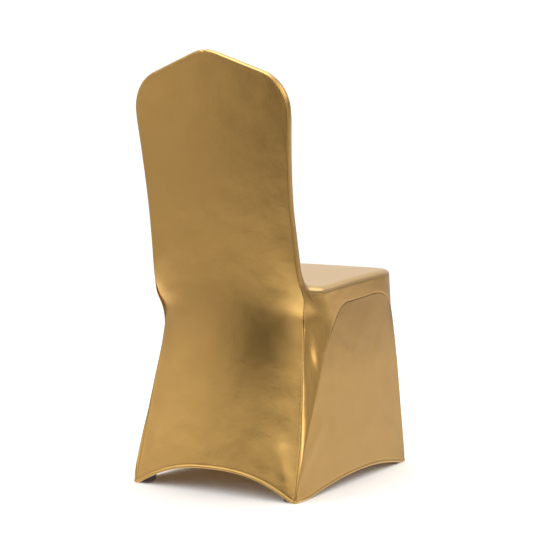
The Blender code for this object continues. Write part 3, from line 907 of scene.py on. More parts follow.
class Tailor:
    """Gives the cut pieces their sewn edges, hems, creases and thickness."""

    def __init__(self, cuts: list[Cut], feet: list["FootPocket"], sewing: Sewing = SEWING):
        """Takes every cut piece and every foot."""
        self.cuts, self.feet, self.sewing = cuts, feet, sewing
        self.mean, self.users, self.reach = sewn_runs(cuts)
        self.hem_lines = self._hems()

    def _is_sewn(self, cut: Cut, a: int, b: int) -> bool:
        """Whether another piece has the same rim edge."""
        return self.users[frozenset((cut.keys[a], cut.keys[b]))] > 1

    def _hems(self) -> tuple[Points, Points]:
        """The starts and ends of every edge that ends at a hem."""
        runs = []
        for cut in self.cuts:
            runs += [(cut.points[a], cut.points[b]) for a, b, _ in cut.rim if not self._is_sewn(cut, a, b)]
        return np.array([start for start, _ in runs]), np.array([end for _, end in runs])

    def fit(self, cut: Cut) -> tuple[Points, Points, Points, Points]:
        """Works out a piece's outer and inner points.

        Args:
            cut: The piece.

        Returns:
            The outer points, the inner points, how much of the hem each point is in, and how close to a seam.
        """
        size = self.sewing
        sewn = np.array([(a, b) for a, b, _ in cut.rim if self._is_sewn(cut, a, b)]).T
        distance, *nearest = nearest_on(cut.points, *cut.points[sewn])
        seam_way = self._along(cut, sewn, nearest, self.mean)
        seam_way /= np.linalg.norm(seam_way, axis=1, keepdims=True)
        hem = nearest_on(cut.points, *self.hem_lines)[0]
        blend = soft_step(distance, 0, size.seam_lean)[:, None]
        way = seam_way * (1 - blend) + cut.normals * blend
        way /= np.linalg.norm(way, axis=1, keepdims=True)
        raised = self._groove(distance) + self._hem_profile(hem) + self._relief(cut, distance)
        outer = cut.points + way * raised[:, None]
        outer = self._parted(cut, outer)
        mitre = self._along(cut, sewn, nearest, self.reach)
        near = np.exp(-distance / size.mitre_reach)
        depth = size.cloth * (1 + near * (mitre - 1)) + size.hem_bulge * size.hem_padding * self._in_hem(hem)
        inner_way = seam_way * near[:, None] + way * (1 - near[:, None])
        inner = outer - inner_way / np.linalg.norm(inner_way, axis=1, keepdims=True) * depth[:, None]
        seam = 1 - soft_step(distance, size.seam_core, size.seam_shade)
        return self._rounded_feet(outer), self._rounded_feet(inner), self._in_hem(hem), seam

    @staticmethod
    def _along(cut: Cut, sewn: Points, nearest: list[Points], values: dict) -> Points:
        """A value of the shared points, taken along the nearest sewn edge to each point.

        Args:
            cut: The piece.
            sewn: The numbers of the points where each sewn edge starts, and where it ends.
            nearest: The number of each point's nearest sewn edge, and the share along it.
            values: The value at each shared point.

        Returns:
            The value at each point of the piece.
        """
        number, share = nearest
        first, second = (np.array([values[cut.keys[index]] for index in ends])[number] for ends in sewn)
        return first + (second - first) * (share[:, None] if first.ndim > 1 else share)

    def _groove(self, distance: Points) -> Points:
        """The drawn-in line at a seam, with the cloth a little puffed beside it."""
        size = self.sewing
        groove = np.clip(1 - distance / size.groove_width, 0, 1) ** size.groove_power
        past = distance - size.puff_place * size.groove_width
        puff = np.exp(-((past / (size.puff_width * size.groove_width)) ** 2))
        return size.puff_height * puff - size.groove_depth * groove

    def _in_hem(self, hem: Points) -> Points:
        """1 inside the folded hem, 0 past its stitches."""
        inside, outside = self.sewing.hem_fade
        return 1 - soft_step(hem, self.sewing.hem_width - inside, self.sewing.hem_width + outside)

    def _hem_profile(self, hem: Points) -> Points:
        """The hem's roll, the dip at its stitches, and its curled edge."""
        size = self.sewing
        across = np.clip(2 * hem / size.hem_width - 1, -1, 1)
        roll = size.hem_bulge * np.sqrt(1 - across**2)
        dip = size.stitch_dip * np.exp(-(((hem - size.stitch_line) / size.stitch_width) ** 2))
        curl = size.hem_curl * np.clip(1 - hem / size.curl_width, 0, 1) ** 2
        return roll - dip - curl

    def _relief(self, cut: Cut, distance: Points) -> Points:
        """The piece's creases and its slight unevenness, which run out at the seams."""
        size = self.sewing
        total = cut.fullness * (1 - (1 - np.clip(distance / size.full_width, 0, 1)) ** 2)
        grown = soft_step(cut.points[:, 2], size.band_foot, size.band_foot + size.band_foot_rise)
        total *= size.low_fullness + (1 - size.low_fullness) * grown
        places = [Vector(point) / size.uneven_length for point in cut.points]
        ripple = np.array([noise.noise(place) for place in places])
        fine = np.array([noise.noise(place * size.fine_times) for place in places])
        folds = np.zeros(len(cut.points))
        for crease in cut.creases:
            folds += crease.raised(cut.points)
        folds += size.unevenness * (ripple + size.fine_unevenness * fine)
        return total + folds * soft_step(distance, 0, size.relief_ease)

    def _parted(self, cut: Cut, outer: Points) -> Points:
        """The outer points, drawn in from each sewn edge by half the seam's gap."""
        face_normals = cut.face_normals(cut.points)
        inward = defaultdict(list)
        for a, b, number in cut.rim:
            if self._is_sewn(cut, a, b):
                way = np.cross(face_normals[number], cut.points[b] - cut.points[a])
                way /= max(np.linalg.norm(way), 1e-15)
                inward[a].append(way)
                inward[b].append(way)
        outer = outer.copy()
        for index, ways in inward.items():
            outer[index] += np.mean(ways, axis=0) * self.sewing.seam_gap / 2
        return outer

    def _rounded_feet(self, points: Points) -> Points:
        """The points with the cloth at each foot rounded under towards the foot's middle."""
        radius = self.sewing.foot_round
        points = points.copy()
        low = np.clip(1 - points[:, 2] / radius, 0, 1)
        tuck = radius * (1 - np.sqrt(1 - low**2))
        for foot in self.feet:
            towards = foot.centre_on_floor - points[:, :2]
            distance = np.maximum(np.linalg.norm(towards, axis=1), 1e-9)
            near = 1 - soft_step(distance, *self.sewing.foot_spread)
            points[:, :2] += towards / distance[:, None] * (tuck * near)[:, None]
        points[:, 2] = np.maximum(points[:, 2], self.sewing.floor_gap)
        return points


@dataclass(frozen=True)
class FoilKnit:
    """The finish of metallic stretch knit.

    Args:
        name: The material's name.
        colour: The foil's own colour.
        shade: Its colour where it is creased or rubbed, and the colour of its painted shade towards the top.
        roughness: The satin's roughness.
        metallic: How metallic the foil is.
        crinkle: The strength of its fine crinkles.
        film: The weight of its clear film.
        thin: The heights between which the colour turns to its shade as the height rises, a painted shade
            that darkens it towards the top.
        rougher: How much its roughness differs across the range of its specks.
        loops: The strength of its knit's loops.
    """

    name: str
    colour: Triple
    shade: Triple
    roughness: float = 0.31
    metallic: float = 0.92
    crinkle: float = 0.35
    film: float = 0.25
    # Painted shade: the heights between which the colour is painted darker towards the top.
    thin: tuple[float, float] = (1.0, 2.0)
    specks: tuple[float, float] = (0.3, 0.7)
    rougher: tuple[float, float] = (-0.04, 0.05)
    crinkle_depth: float = 0.0006
    loops: float = 0.16
    loop_depth: float = 0.00012


@dataclass(frozen=True)
class PlainKnit:
    """The finish of matte knit or thread, coarser than the foil's knit."""

    name: str
    colour: Triple
    shade: Triple
    roughness: float = 0.80
    sheen: float = 0.25
    loops: float = 0.5
    loop_depth: float = 0.0003
    wale: float = 0.0012
    course: float = 0.0009
    fineness: float = 260.0
    cloud: float = 40.0


# The kind of a socket, by its value. A vector's is left open.
SOCKETS = {type(None): "NodeSocketVector", float: "NodeSocketFloat", tuple: "NodeSocketColor"}


def new_tree(name: str, inputs: dict[str, float | tuple | None], outputs: dict[str, float | tuple]) -> Tree:
    """A shader node group with named sockets.

    Args:
        name: The group's name.
        inputs: Each input's default.
        outputs: A value of each output's kind.

    Returns:
        The group.
    """
    tree = bpy.data.node_groups.new(name, "ShaderNodeTree")
    for way, sockets in (("INPUT", inputs), ("OUTPUT", outputs)):
        for label, value in sockets.items():
            socket = tree.interface.new_socket(label, in_out=way, socket_type=SOCKETS[type(value)])
            if value is not None:
                socket.default_value = value
    return tree


class Nodes:
    """A short way to place and link nodes in a tree."""

    def __init__(self, tree: Tree):
        """Takes the tree to fill."""
        self.tree = tree

    def feed(self, node: Node, inputs: dict) -> None:
        """Sets or links a node's inputs, by name or number."""
        for key, value in inputs.items():
            if isinstance(value, Socket):
                self.tree.links.new(value, node.inputs[key])
            else:
                node.inputs[key].default_value = value

    def add(self, kind: str, inputs: dict | None = None, **settings: object) -> Node:
        """Adds a node.

        Args:
            kind: The node's type.
            inputs: Values or sockets for its inputs, by name or number.
            settings: The node's own settings.

        Returns:
            The node.
        """
        node = self.tree.nodes.new(kind)
        for key, value in settings.items():
            setattr(node, key, value)
        self.feed(node, inputs or {})
        return node

    def math(self, operation: str, *values: Socket | float) -> Socket:
        """A Math node's result."""
        return self.add("ShaderNodeMath", dict(enumerate(values)), operation=operation).outputs[0]

    def mixed(self, share: Socket, first: Socket | tuple, second: Socket | tuple) -> Socket:
        """Two colours mixed."""
        return self.add("ShaderNodeMix", {0: share, 6: first, 7: second}, data_type="RGBA").outputs[2]

    def ranged(self, value: Socket, low: float, high: float, least: float, most: float, **how: str) -> Socket:
        """A value taken from the range between low and high to the one between least and most."""
        inputs = {0: value, 1: low, 2: high, 3: least, 4: most}
        return self.add("ShaderNodeMapRange", inputs, **how).outputs[0]

    def group(self, tree: Tree, inputs: dict) -> Node:
        """Places a shared node group."""
        return self.add("ShaderNodeGroup", inputs, node_tree=tree)

    def bump(self, height: Socket, strength: float, distance: float, **more: Socket) -> Socket:
        """A bumped normal."""
        values = {"Height": height, "Strength": strength, "Distance": distance}
        return self.add("ShaderNodeBump", values | more).outputs[0]


class ClothEffects:
    """The shader node groups that the cover's materials share.

    Clouds, gaps and hems turn the colour to its shade by their shares, a painted shade share darkens it
    towards the top in the same way, and seams turn it brown.
    """

    LOOP_LEAN = 0.5
    LOOP_SHARE = 0.6
    WALE_POWER = 0.6
    CLOUD_RANGE = (0.35, 0.70)
    CLOUD_SHARE = 0.16
    GAP_SHARE = 0.22
    HEM_SHARE = -0.15
    SEAM_SHARE = 0.45
    SEAM_BROWN = (0.075, 0.040, 0.015, 1.0)

    def __init__(self) -> None:
        """Builds each group once."""
        self.knit = self._knit()
        self.crinkle = self._crinkle()
        # The cloth's colour group, which also paints shade onto the cloth towards the top.
        self.pull = self._colour_with_painted_shade()

    @staticmethod
    def _wave(nodes: Nodes, value: Socket) -> Socket:
        """A row of rounded ridges, one for each whole number."""
        return nodes.math("ABSOLUTE", nodes.math("SINE", nodes.math("MULTIPLY", value, math.pi)))

    def _knit(self) -> Tree:
        """Rows of knit loops on the cloth's own coordinates."""
        inputs = {"Cloth": None, "Wale": 0.0008, "Course": 0.0006}
        tree = new_tree("Knit loops", inputs, {"Height": 0.0, "Gaps": 0.0})
        nodes = Nodes(tree)
        given = nodes.add("NodeGroupInput")
        place = nodes.add("ShaderNodeSeparateXYZ", {0: given.outputs["Cloth"]})
        across = nodes.math("DIVIDE", place.outputs[0], given.outputs["Wale"])
        down = nodes.math("DIVIDE", place.outputs[1], given.outputs["Course"])
        wale = self._wave(nodes, across)
        loop = self._wave(nodes, nodes.math("ADD", down, nodes.math("MULTIPLY", wale, self.LOOP_LEAN)))
        raised = nodes.math("ADD", nodes.math("MULTIPLY", loop, self.LOOP_SHARE), 1 - self.LOOP_SHARE)
        height = nodes.math("MULTIPLY", nodes.math("POWER", wale, self.WALE_POWER), raised)
        nodes.add("NodeGroupOutput", {"Height": height, "Gaps": nodes.math("SUBTRACT", 1.0, height)})
        return tree

    def _crinkle(self) -> Tree:
        """Fine crinkles and broad cloudiness in the foil."""
        inputs = {"Place": None, "Fineness": 160.0, "Cloud": 9.0}
        tree = new_tree("Foil crinkle", inputs, {"Height": 0.0, "Cloudiness": 0.0, "Specks": 0.0})
        nodes = Nodes(tree)
        given = nodes.add("NodeGroupInput")
        out = nodes.add("NodeGroupOutput")
        for label, scale, detail, roughness in (
            ("Height", given.outputs["Fineness"], 3.0, 0.55),
            ("Cloudiness", given.outputs["Cloud"], 2.0, 0.5),
            ("Specks", 1400.0, 1.0, 0.5),
        ):
            values = {"Vector": given.outputs["Place"], "Scale": scale, "Detail": detail}
            grain = nodes.add("ShaderNodeTexNoise", values | {"Roughness": roughness})
            nodes.feed(out, {label: grain.outputs[0]})
        return tree

    def _colour_with_painted_shade(self) -> Tree:
        """A colour that turns to the shade in hems, creases and worn spots, and darkens towards the top where
        a painted shade is asked for.
        """
        colours = {"Colour": (0.6, 0.45, 0.2, 1.0), "Shade": (0.4, 0.3, 0.12, 1.0)}
        shares = {"Hem": 0.0, "Seam": 0.0, "Cloudiness": 0.5, "Gaps": 0.0, "Thin": 0.0}
        tree = new_tree("Pulled cloth", colours | shares, {"Colour": (0.0, 0.0, 0.0, 1.0)})
        nodes = Nodes(tree)
        given = nodes.add("NodeGroupInput")
        cloud = nodes.ranged(given.outputs["Cloudiness"], *self.CLOUD_RANGE, 0.0, self.CLOUD_SHARE)
        gaps = nodes.math("MULTIPLY", given.outputs["Gaps"], self.GAP_SHARE)
        # The painted shade towards the top adds to the share of the shade.
        share = nodes.math("ADD", nodes.math("ADD", cloud, gaps), given.outputs["Thin"])
        hem = nodes.math("MULTIPLY", given.outputs["Hem"], self.HEM_SHARE)
        share = nodes.add("ShaderNodeClamp", {0: nodes.math("ADD", share, hem)})
        colour = nodes.mixed(share.outputs[0], given.outputs["Colour"], given.outputs["Shade"])
        line = nodes.math("MULTIPLY", given.outputs["Seam"], self.SEAM_SHARE)
        colour = nodes.mixed(line, colour, self.SEAM_BROWN)
        nodes.add("NodeGroupOutput", {"Colour": colour})
        return tree


class Woven(NamedTuple):
    """A started material, with what its finish still needs of it."""

    material: Material
    nodes: Nodes
    shader: Node
    place: Socket
    loops: Node
    creases: Node
    colour: Node


class Finishes:
    """Makes each material once, from the shared groups."""

    def __init__(self) -> None:
        """Builds the groups, with no material yet."""
        self.effects = ClothEffects()
        self.made: dict[str, Material] = {}

    def _woven(self, finish: FoilKnit | PlainKnit, knit: dict, crinkle: dict) -> Woven:
        """Starts a material, with its colour from the shared groups.

        Args:
            finish: The finish.
            knit: The knit group's own values.
            crinkle: The crinkle group's own values.

        Returns:
            The started material.
        """
        material = bpy.data.materials.new(finish.name)
        material.use_nodes = True
        self.made[finish.name] = material
        nodes = Nodes(material.node_tree)
        shader = material.node_tree.nodes["Principled BSDF"]
        cloth = nodes.add("ShaderNodeUVMap", uv_map="Cloth").outputs[0]
        place = nodes.add("ShaderNodeTexCoord").outputs["Object"]
        loops = nodes.group(self.effects.knit, {"Cloth": cloth} | knit)
        creases = nodes.group(self.effects.crinkle, {"Place": place} | crinkle)
        values = {
            "Colour": (*finish.colour, 1.0),
            "Shade": (*finish.shade, 1.0),
            "Cloudiness": creases.outputs["Cloudiness"],
            "Gaps": loops.outputs["Gaps"],
        }
        colour = nodes.group(self.effects.pull, values)
        nodes.feed(shader, {"Base Color": colour.outputs["Colour"]})
        return Woven(material, nodes, shader, place, loops, creases, colour)

    def foil(self, finish: FoilKnit) -> Material:
        """The material of metallic stretch knit."""
        if finish.name in self.made:
            return self.made[finish.name]
        woven = self._woven(finish, {}, {})
        nodes, creases = woven.nodes, woven.creases
        height = nodes.add("ShaderNodeSeparateXYZ", {0: woven.place}).outputs[2]
        hem, seam = (nodes.add("ShaderNodeAttribute", attribute_name=name) for name in ("hem", "seam"))
        # Painted shade: the colour turns to its shade as the height rises between the finish's heights.
        thin = nodes.ranged(height, *finish.thin, 0.0, 1.0)
        nodes.feed(woven.colour, {"Hem": hem.outputs["Fac"], "Seam": seam.outputs["Fac"], "Thin": thin})
        least, most = (finish.roughness + more for more in finish.rougher)
        soft = nodes.bump(creases.outputs["Height"], finish.crinkle, finish.crinkle_depth)
        values = {
            "Roughness": nodes.ranged(creases.outputs["Specks"], *finish.specks, least, most),
            "Metallic": finish.metallic,
            "Coat Weight": finish.film,
            "Coat Roughness": finish.roughness,
            "Normal": nodes.bump(woven.loops.outputs["Height"], finish.loops, finish.loop_depth, Normal=soft),
        }
        nodes.feed(woven.shader, values)
        return woven.material

    def plain(self, finish: PlainKnit) -> Material:
        """The material of matte knit or thread."""
        if finish.name in self.made:
            return self.made[finish.name]
        knit = {"Wale": finish.wale, "Course": finish.course}
        woven = self._woven(finish, knit, {"Fineness": finish.fineness, "Cloud": finish.cloud})
        normal = woven.nodes.bump(woven.loops.outputs["Height"], finish.loops, finish.loop_depth)
        values = {"Roughness": finish.roughness, "Sheen Weight": finish.sheen, "Normal": normal}
        woven.nodes.feed(woven.shader, values)
        return woven.material


GOLD = FoilKnit("Gold stretch knit", (0.61, 0.375, 0.110), (0.45, 0.260, 0.066))
SEAT_GOLD = FoilKnit("Gold stretch knit, seat", (0.66, 0.455, 0.200), (0.53, 0.350, 0.140), roughness=0.36)
# The arch panels' colour is painted darker towards their tops, under the seat's edge: painted shade.
SIDE_GOLD = FoilKnit(
    "Gold stretch knit, sides", (0.57, 0.355, 0.092), (0.40, 0.235, 0.058), thin=(0.25, 0.41)
)
POCKET_BROWN = PlainKnit("Dark pocket knit", (0.060, 0.034, 0.024), (0.030, 0.018, 0.014))
GOLD_THREAD = PlainKnit("Gold thread", (0.50, 0.33, 0.12), (0.34, 0.21, 0.07), roughness=0.55, sheen=0.1)


# Faces that meet at a steeper angle keep a sharp edge.
SHARP_FROM = math.radians(50)


def placed(name: str, data: ID) -> Object:
    """A new object, put in the scene."""
    made = bpy.data.objects.new(name, data)
    bpy.context.scene.collection.objects.link(made)
    return made


def closed_mesh(cut: Cut, outer: Points, inner: Points, hem: Points, seam: Points) -> Mesh:
    """The piece as a closed mesh with its cloth coordinates.

    Args:
        cut: The piece.
        outer: Its outer points.
        inner: Its inner points.
        hem: How much of the hem each point is in.
        seam: How close to a seam each point is.

    Returns:
        The mesh.
    """
    count = len(outer)
    rim = np.array([(a, b) for a, b, _ in cut.rim])
    walls = np.stack([rim[:, 1], rim[:, 0], rim[:, 0] + count, rim[:, 1] + count], -1)
    faces = np.vstack([cut.quads, cut.quads[:, ::-1] + count, walls])
    mesh = bpy.data.meshes.new(f"{cut.node}_cloth")
    mesh.from_pydata(np.vstack([outer, inner]).tolist(), [], faces.tolist())
    layer = mesh.uv_layers.new(name="Cloth")
    corners = np.empty(len(mesh.loops), int)
    mesh.loops.foreach_get("vertex_index", corners)
    layer.data.foreach_set("uv", np.vstack([cut.flat, cut.flat])[corners].astype(np.float32).ravel())
    for label, share in (("hem", hem), ("seam", seam)):
        values = mesh.attributes.new(label, "FLOAT", "POINT")
        values.data.foreach_set("value", np.concatenate([share, share]).astype(np.float32))
    mesh.shade_smooth()
    mesh.set_sharp_from_angle(angle=SHARP_FROM)
    return mesh


# The width and length of each cut. The side band's has the strip for the seat's side laid beside the gore.
BACK_CUT = (0.375, 0.80)
FRONT_CUT = (0.375, 0.79)
APRON_CUT = (0.375, 0.40)
BAND_CUT = (0.11, 0.90)
ARCH_CUT = (0.47, 0.35)


@dataclass
class ClothPiece:
    """What each cut piece of the cover shares: its node, its finish, and the flat size it was cut to.

    Args:
        node: The solid's node.
        slot: The record's material slot; not used.
        finish: The cloth.
        flat: The width and length of the cloth that it was cut from; not used.

    Its hem, where it has one of its own, is sewn with a row of stitches.
    """

    hemmed: ClassVar[bool] = False

    node: str
    slot: str
    finish: FoilKnit
    flat: tuple[float, float]

    def dress(self, cut: Cut, tailor: Tailor, finishes: Finishes, sewer: "HemSewer") -> Object:
        """Args:
            cut: The cut piece.
            tailor: Gives it its sewn shape.
            finishes: The materials.
            sewer: Sews its hem.

        Returns:
            The object.
        """
        outer, inner, hem, seam = tailor.fit(cut)
        mesh = closed_mesh(cut, outer, inner, hem, seam)
        cloth = placed(mesh.name, mesh)
        mesh.materials.append(finishes.foil(self.finish))
        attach(cloth, BODY)
        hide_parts(self.node)
        extras = sewer.sew(self, cut, outer) if self.hemmed else []
        cut.area() / AREA_STRETCH
        report(cloth)
        return cloth


def report(piece: Object) -> None:
    """Logs a finished piece with its number of faces."""
    log.info("%s: %d faces", piece.name, len(piece.data.polygons))


@dataclass
class BackPanel(ClothPiece):
    """The whole back in one piece, from the peaked crown to the arched rear hem.

    Args:
        bridge: How broadly the cloth bridges the waist.
        bridge_step: The spacing of the heights that this is worked out at, within its span.
        bridge_side: How far from the side seams it starts, and is full.
        bridge_foot: The heights between which it sets in, as it runs out between those of its head.
    """

    hemmed: ClassVar[bool] = True

    bridge: float = 0.030
    bridge_step: float = 0.0025
    bridge_span: tuple[float, float] = (0.20, 0.80)
    bridge_side: tuple[float, float] = (0.003, 0.045)
    bridge_foot: tuple[float, float] = (0.27, 0.40)
    bridge_head: tuple[float, float] = (0.64, 0.76)

    def cut(self, shape: CoverShape, creases: list[Crease]) -> Cut:
        """Bows the cloth over the chair's back, then draws it taut between the legs."""
        columns = whole_width_places()
        upper = over_the_back(shape, shape.rear_crown, shape.rear_back, columns, 0)
        level = shape.level_row(at_height(shape.edge, shape.waist_top), shape.back_bow)
        waist = run(level, ACROSS).whole_width()
        side = shape.rear_waist + shape.rear_leg
        rows = row_places(DOWN_WAIST, DOWN_LEG)
        sides = Sides(waist, shape.rear_hem.whole_width(), side.mirrored(), side)
        lower = taut_patch(sides, columns, rows, axis=1)
        return Cut(self.node, [self._bridged(np.vstack([upper, lower[1:]]))], (0, 1, 0), creases)

    def _bridged(self, grid: Points) -> Points:
        """The grid with the cloth bridging softly across the waist, where it stands clear of the chair."""
        heights = np.arange(*self.bridge_span, self.bridge_step)
        reach = round(3 * self.bridge / self.bridge_step)
        kernel = np.exp(-((np.arange(-reach, reach + 1) * self.bridge_step / self.bridge) ** 2) / 2)
        kernel /= kernel.sum()
        half_width = np.abs(grid[:, :1, 0])
        inside = soft_step(half_width - np.abs(grid[..., 0]), *self.bridge_side)
        window = soft_step(grid[..., 2], *self.bridge_foot) * (1 - soft_step(grid[..., 2], *self.bridge_head))
        for column in range(1, grid.shape[1] - 1):
            level = np.interp(heights, grid[::-1, column, 2], grid[::-1, column, 1])
            padded = np.pad(level, reach, mode="reflect", reflect_type="odd")
            moved = np.interp(grid[:, column, 2], heights, np.convolve(padded, kernel, "valid") - level)
            grid[:, column, 1] += moved * window[:, column] * inside[:, column]
        return grid


def over_the_back(shape: CoverShape, top: Path, side: Path, columns: Points, forward: float) -> Points:
    """The grid over the chair's back, from a crown line down to the waist.

    Args:
        shape: The cover's shape.
        top: The crown's half.
        side: The back's edge from the shoulder to the waist.
        columns: The places of the columns.
        forward: How far in front of the back's edge it lies.

    Returns:
        The grid's points.
    """
    foot = side.sample(np.array([side.weight]))[0]
    row = run(shape.level_row(foot, shape.back_bow), ACROSS)
    rows = row_places(DOWN_BACK)
    sides = Sides(top.whole_width(), row.whole_width(), side.mirrored(), side)
    grid = patch(sides, columns, rows, sides.shares(columns, rows))
    inside = grid[1:-1, 1:-1]
    inside[..., 1] = shape.back_depth(inside[..., 0], inside[..., 2]) - forward
    return grid


@dataclass
class FrontPanel(ClothPiece):
    """The inside of the back and the seat's top in one piece, rounded over the padding."""

    back_padding: Padding = Padding(0.011, 0.011, 0.014)
    seat_padding: Padding = Padding(0.012, 0.014, 0.003)

    def cut(self, shape: CoverShape, creases: list[Crease]) -> Cut:
        """Lays the cloth over the back's padding, round the crease, and over the seat's padding."""
        columns = whole_width_places()
        back = over_the_back(shape, shape.front_crown, shape.front_back, columns, shape.edge_band)
        turn_rows = row_places(DOWN_WAIST, ROUND_CORNER)
        side = (shape.front_waist + shape.seat_corner).sample(turn_rows)
        shares = 1 - ACROSS.spread(row_places(ACROSS))
        shares = np.concatenate([-shares, shares[-2::-1]])
        crease = side[:, None] * np.ones((1, len(shares), 1))
        crease[..., 0] *= shares
        crease[..., 1] += shape.back_bow * (1 - turn_rows / turn_rows[-1])[:, None] * (1 - shares**2)
        seat = self._seat(shape, crease[-1], columns)
        edge = self._padding_edge(shape)
        raised = self._raised_turn(crease, distance_to_line(crease, edge), turn_rows / turn_rows[-1])
        back[..., 1] -= self.back_padding.height(distance_to_line(back, edge))
        seat[..., 2] += self.seat_padding.height(distance_to_line(seat, edge))
        return Cut(self.node, [np.vstack([back, raised[1:], seat[1:]])], (0, -1, 1), creases)

    def _seat(self, shape: CoverShape, rear: Points, columns: Points) -> Points:
        """The seat's flat grid, from the crease to its front seam."""
        rows = row_places(ALONG_SEAT)
        side, front = shape.seat_side, shape.seat_front_edge.whole_width()
        lines = [rear, front.sample(columns), side.mirrored().sample(rows), side.sample(rows)]
        return coons(lines, (columns / columns[-1], rows / rows[-1]))

    def _padding_edge(self, shape: CoverShape) -> Points:
        """The whole closed seam round the panel."""
        across = row_places(ACROSS)
        runs = [
            shape.front_crown.sample(across)[::-1],
            shape.front_back.sample(row_places(DOWN_BACK)),
            (shape.front_waist + shape.seat_corner).sample(row_places(DOWN_WAIST, ROUND_CORNER)),
            shape.seat_side.sample(row_places(ALONG_SEAT)),
            shape.seat_front_edge.sample(across),
        ]
        line = np.vstack(runs)
        return np.vstack([line, (line * (-1, 1, 1))[::-1]])

    def _raised_turn(self, crease: Points, distance: Points, turns: Points) -> Points:
        """The rows between the back and the seat, raised so that their middles follow one soft curve."""
        middle = crease[:, crease.shape[1] // 2]
        reach = distance.max(axis=1)
        start = middle[0] - (0, self.back_padding.height(reach[0]), 0)
        end = middle[-1] + (0, 0, self.seat_padding.height(reach[-1]))
        corner = np.array([0, start[1], end[2]])
        raised = crease.copy()
        for row, turn in enumerate(turns):
            target = start * (1 - turn) ** 2 + corner * 2 * turn * (1 - turn) + end * turn**2
            padding = self.back_padding.towards(self.seat_padding, turn)
            share = padding.height(distance[row]) / padding.height(reach[row])
            raised[row] += (target - middle[row]) * share[:, None]
        return raised


@dataclass
class FrontApron(ClothPiece):
    """The skirt below the seat's front edge, down to the front hem."""

    hemmed: ClassVar[bool] = True

    def cut(self, shape: CoverShape, creases: list[Crease]) -> Cut:
        """Draws the cloth taut between the front legs."""
        side = shape.seat_end + shape.front_leg
        rows, columns = row_places(DOWN_SEAT_SIDE, DOWN_LEG), whole_width_places()
        top, hem = shape.seat_front_edge.whole_width(), shape.front_hem.whole_width()
        grid = taut_patch(Sides(top, hem, side.mirrored(), side), columns, rows, axis=1)
        return Cut(self.node, [grid], (0, -1, 0), creases)


@dataclass
class SideBand(ClothPiece):
    """The band round the back's edge, the seat's side, and the gore that tapers down the rear leg.

    Args:
        side: The side that it is on.
        fullness: How far it stands out between its seams.
        spread: How much wider the gore gets for each metre forward of the back seam, at the waist.
        softness: How softly it gives way where it would be wider.
        drawn_shares: The shares of its breadth, from the back seam, between which this runs out.
        drawn_heights: The heights between which this sets in.
    """

    side: Side = Side.LEFT
    fullness: float = 0.0017
    spread: float = 0.50
    softness: float = 0.003
    drawn_shares: tuple[float, float] = (0.55, 1.0)
    drawn_heights: tuple[float, float] = (0.25, 0.31)

    def cut(self, shape: CoverShape, creases: list[Crease]) -> Cut:
        """Rules the cloth between the seams on its two sides."""
        top_rows, side_rows = row_places(ACROSS), row_places(DOWN_BACK, DOWN_WAIST)
        band_rows = np.concatenate([ACROSS.weight - top_rows[::-1], side_rows[1:] + ACROSS.weight])
        rear = (shape.rear_crown.backwards() + shape.rear_back + shape.rear_waist).sample(band_rows)
        front = (shape.front_crown.backwards() + shape.front_back + shape.front_waist).sample(band_rows)
        band = self._ruled(rear, front, row_places(ACROSS_BAND) / ACROSS_BAND.weight)
        band[-1] = shape.band_end.sample(row_places(ACROSS_BAND))
        turned = [row_places(section)[::-1] for section in (ALONG_SEAT, ROUND_CORNER, ACROSS_BAND)]
        seams = (shape.seat_side, shape.seat_corner, shape.band_end)
        upper = [seam.sample(places) for seam, places in zip(seams, turned)]
        lower = [shape.arch_top_edge.sample(turned[0]), self._turned(shape.arch_turn)]
        legs = [edge.sample(row_places(DOWN_LEG)) for edge in (shape.rear_leg, shape.arch_rear_edge)]
        above_line = np.vstack([upper[0], upper[1][1:], upper[2][1:], legs[0][1:]])
        below_line = np.vstack([lower[0], lower[1][1:], legs[1][1:]])
        gore = self._ruled(above_line, below_line, row_places(DOWN_SEAT_SIDE) / DOWN_SEAT_SIDE.weight)
        gore = self._drawn_in(gore, shape)
        gore[0] = shape.seat_end.sample(row_places(DOWN_SEAT_SIDE))
        flip = (self.side.value, 1, 1)
        return Cut(self.node, [band * flip, gore * flip], (self.side.value, 0, 0), creases, self.fullness)

    def _drawn_in(self, gore: Points, shape: CoverShape) -> Points:
        """The gore with its cloth leaving the back seam forwards, where the waist draws it in."""
        height = gore[..., 2]
        seam_x, seam_y = (np.interp(height, shape.edge[:, 2], shape.edge[:, axis]) for axis in (0, 1))
        widest = seam_x + self.spread * np.maximum(seam_y - gore[..., 1], 0)
        over = np.maximum(gore[..., 0] - widest, 0)
        shares = row_places(DOWN_SEAT_SIDE) / DOWN_SEAT_SIDE.weight
        near_seam = 1 - soft_step(shares, *self.drawn_shares)
        gore = gore.copy()
        drawn = over**2 / (over + self.softness) * near_seam
        gore[..., 0] -= drawn * soft_step(height, *self.drawn_heights)
        return gore

    @staticmethod
    def _turned(turn: Path) -> Points:
        """The arch's turn, from the seat's corner back to the band's end."""
        return turn.sample(row_places(ACROSS_BAND, ROUND_CORNER))[::-1]

    @staticmethod
    def _ruled(one: Points, other: Points, shares: Points) -> Points:
        """Straight rungs between two lines."""
        return one[:, None] + (other - one)[:, None] * shares[None, :, None]


@dataclass
class ArchPanel(ClothPiece):
    """The arched side panel between the rear foot, the seat's side and the front foot."""

    hemmed: ClassVar[bool] = True

    side: Side = Side.LEFT

    def cut(self, shape: CoverShape, creases: list[Crease]) -> Cut:
        """Draws the cloth taut between the arched seam, the legs and the hem."""
        columns, rows = row_places(ACROSS_BAND, ROUND_CORNER, ALONG_SEAT), row_places(DOWN_LEG)
        top = shape.arch_turn + shape.arch_top_edge
        sides = Sides(top, shape.side_hem, shape.arch_rear_edge, shape.front_leg)
        grid = taut_patch(sides, columns, rows, axis=0)
        return Cut(self.node, [grid * (self.side.value, 1, 1)], (self.side.value, 0, 0), creases)


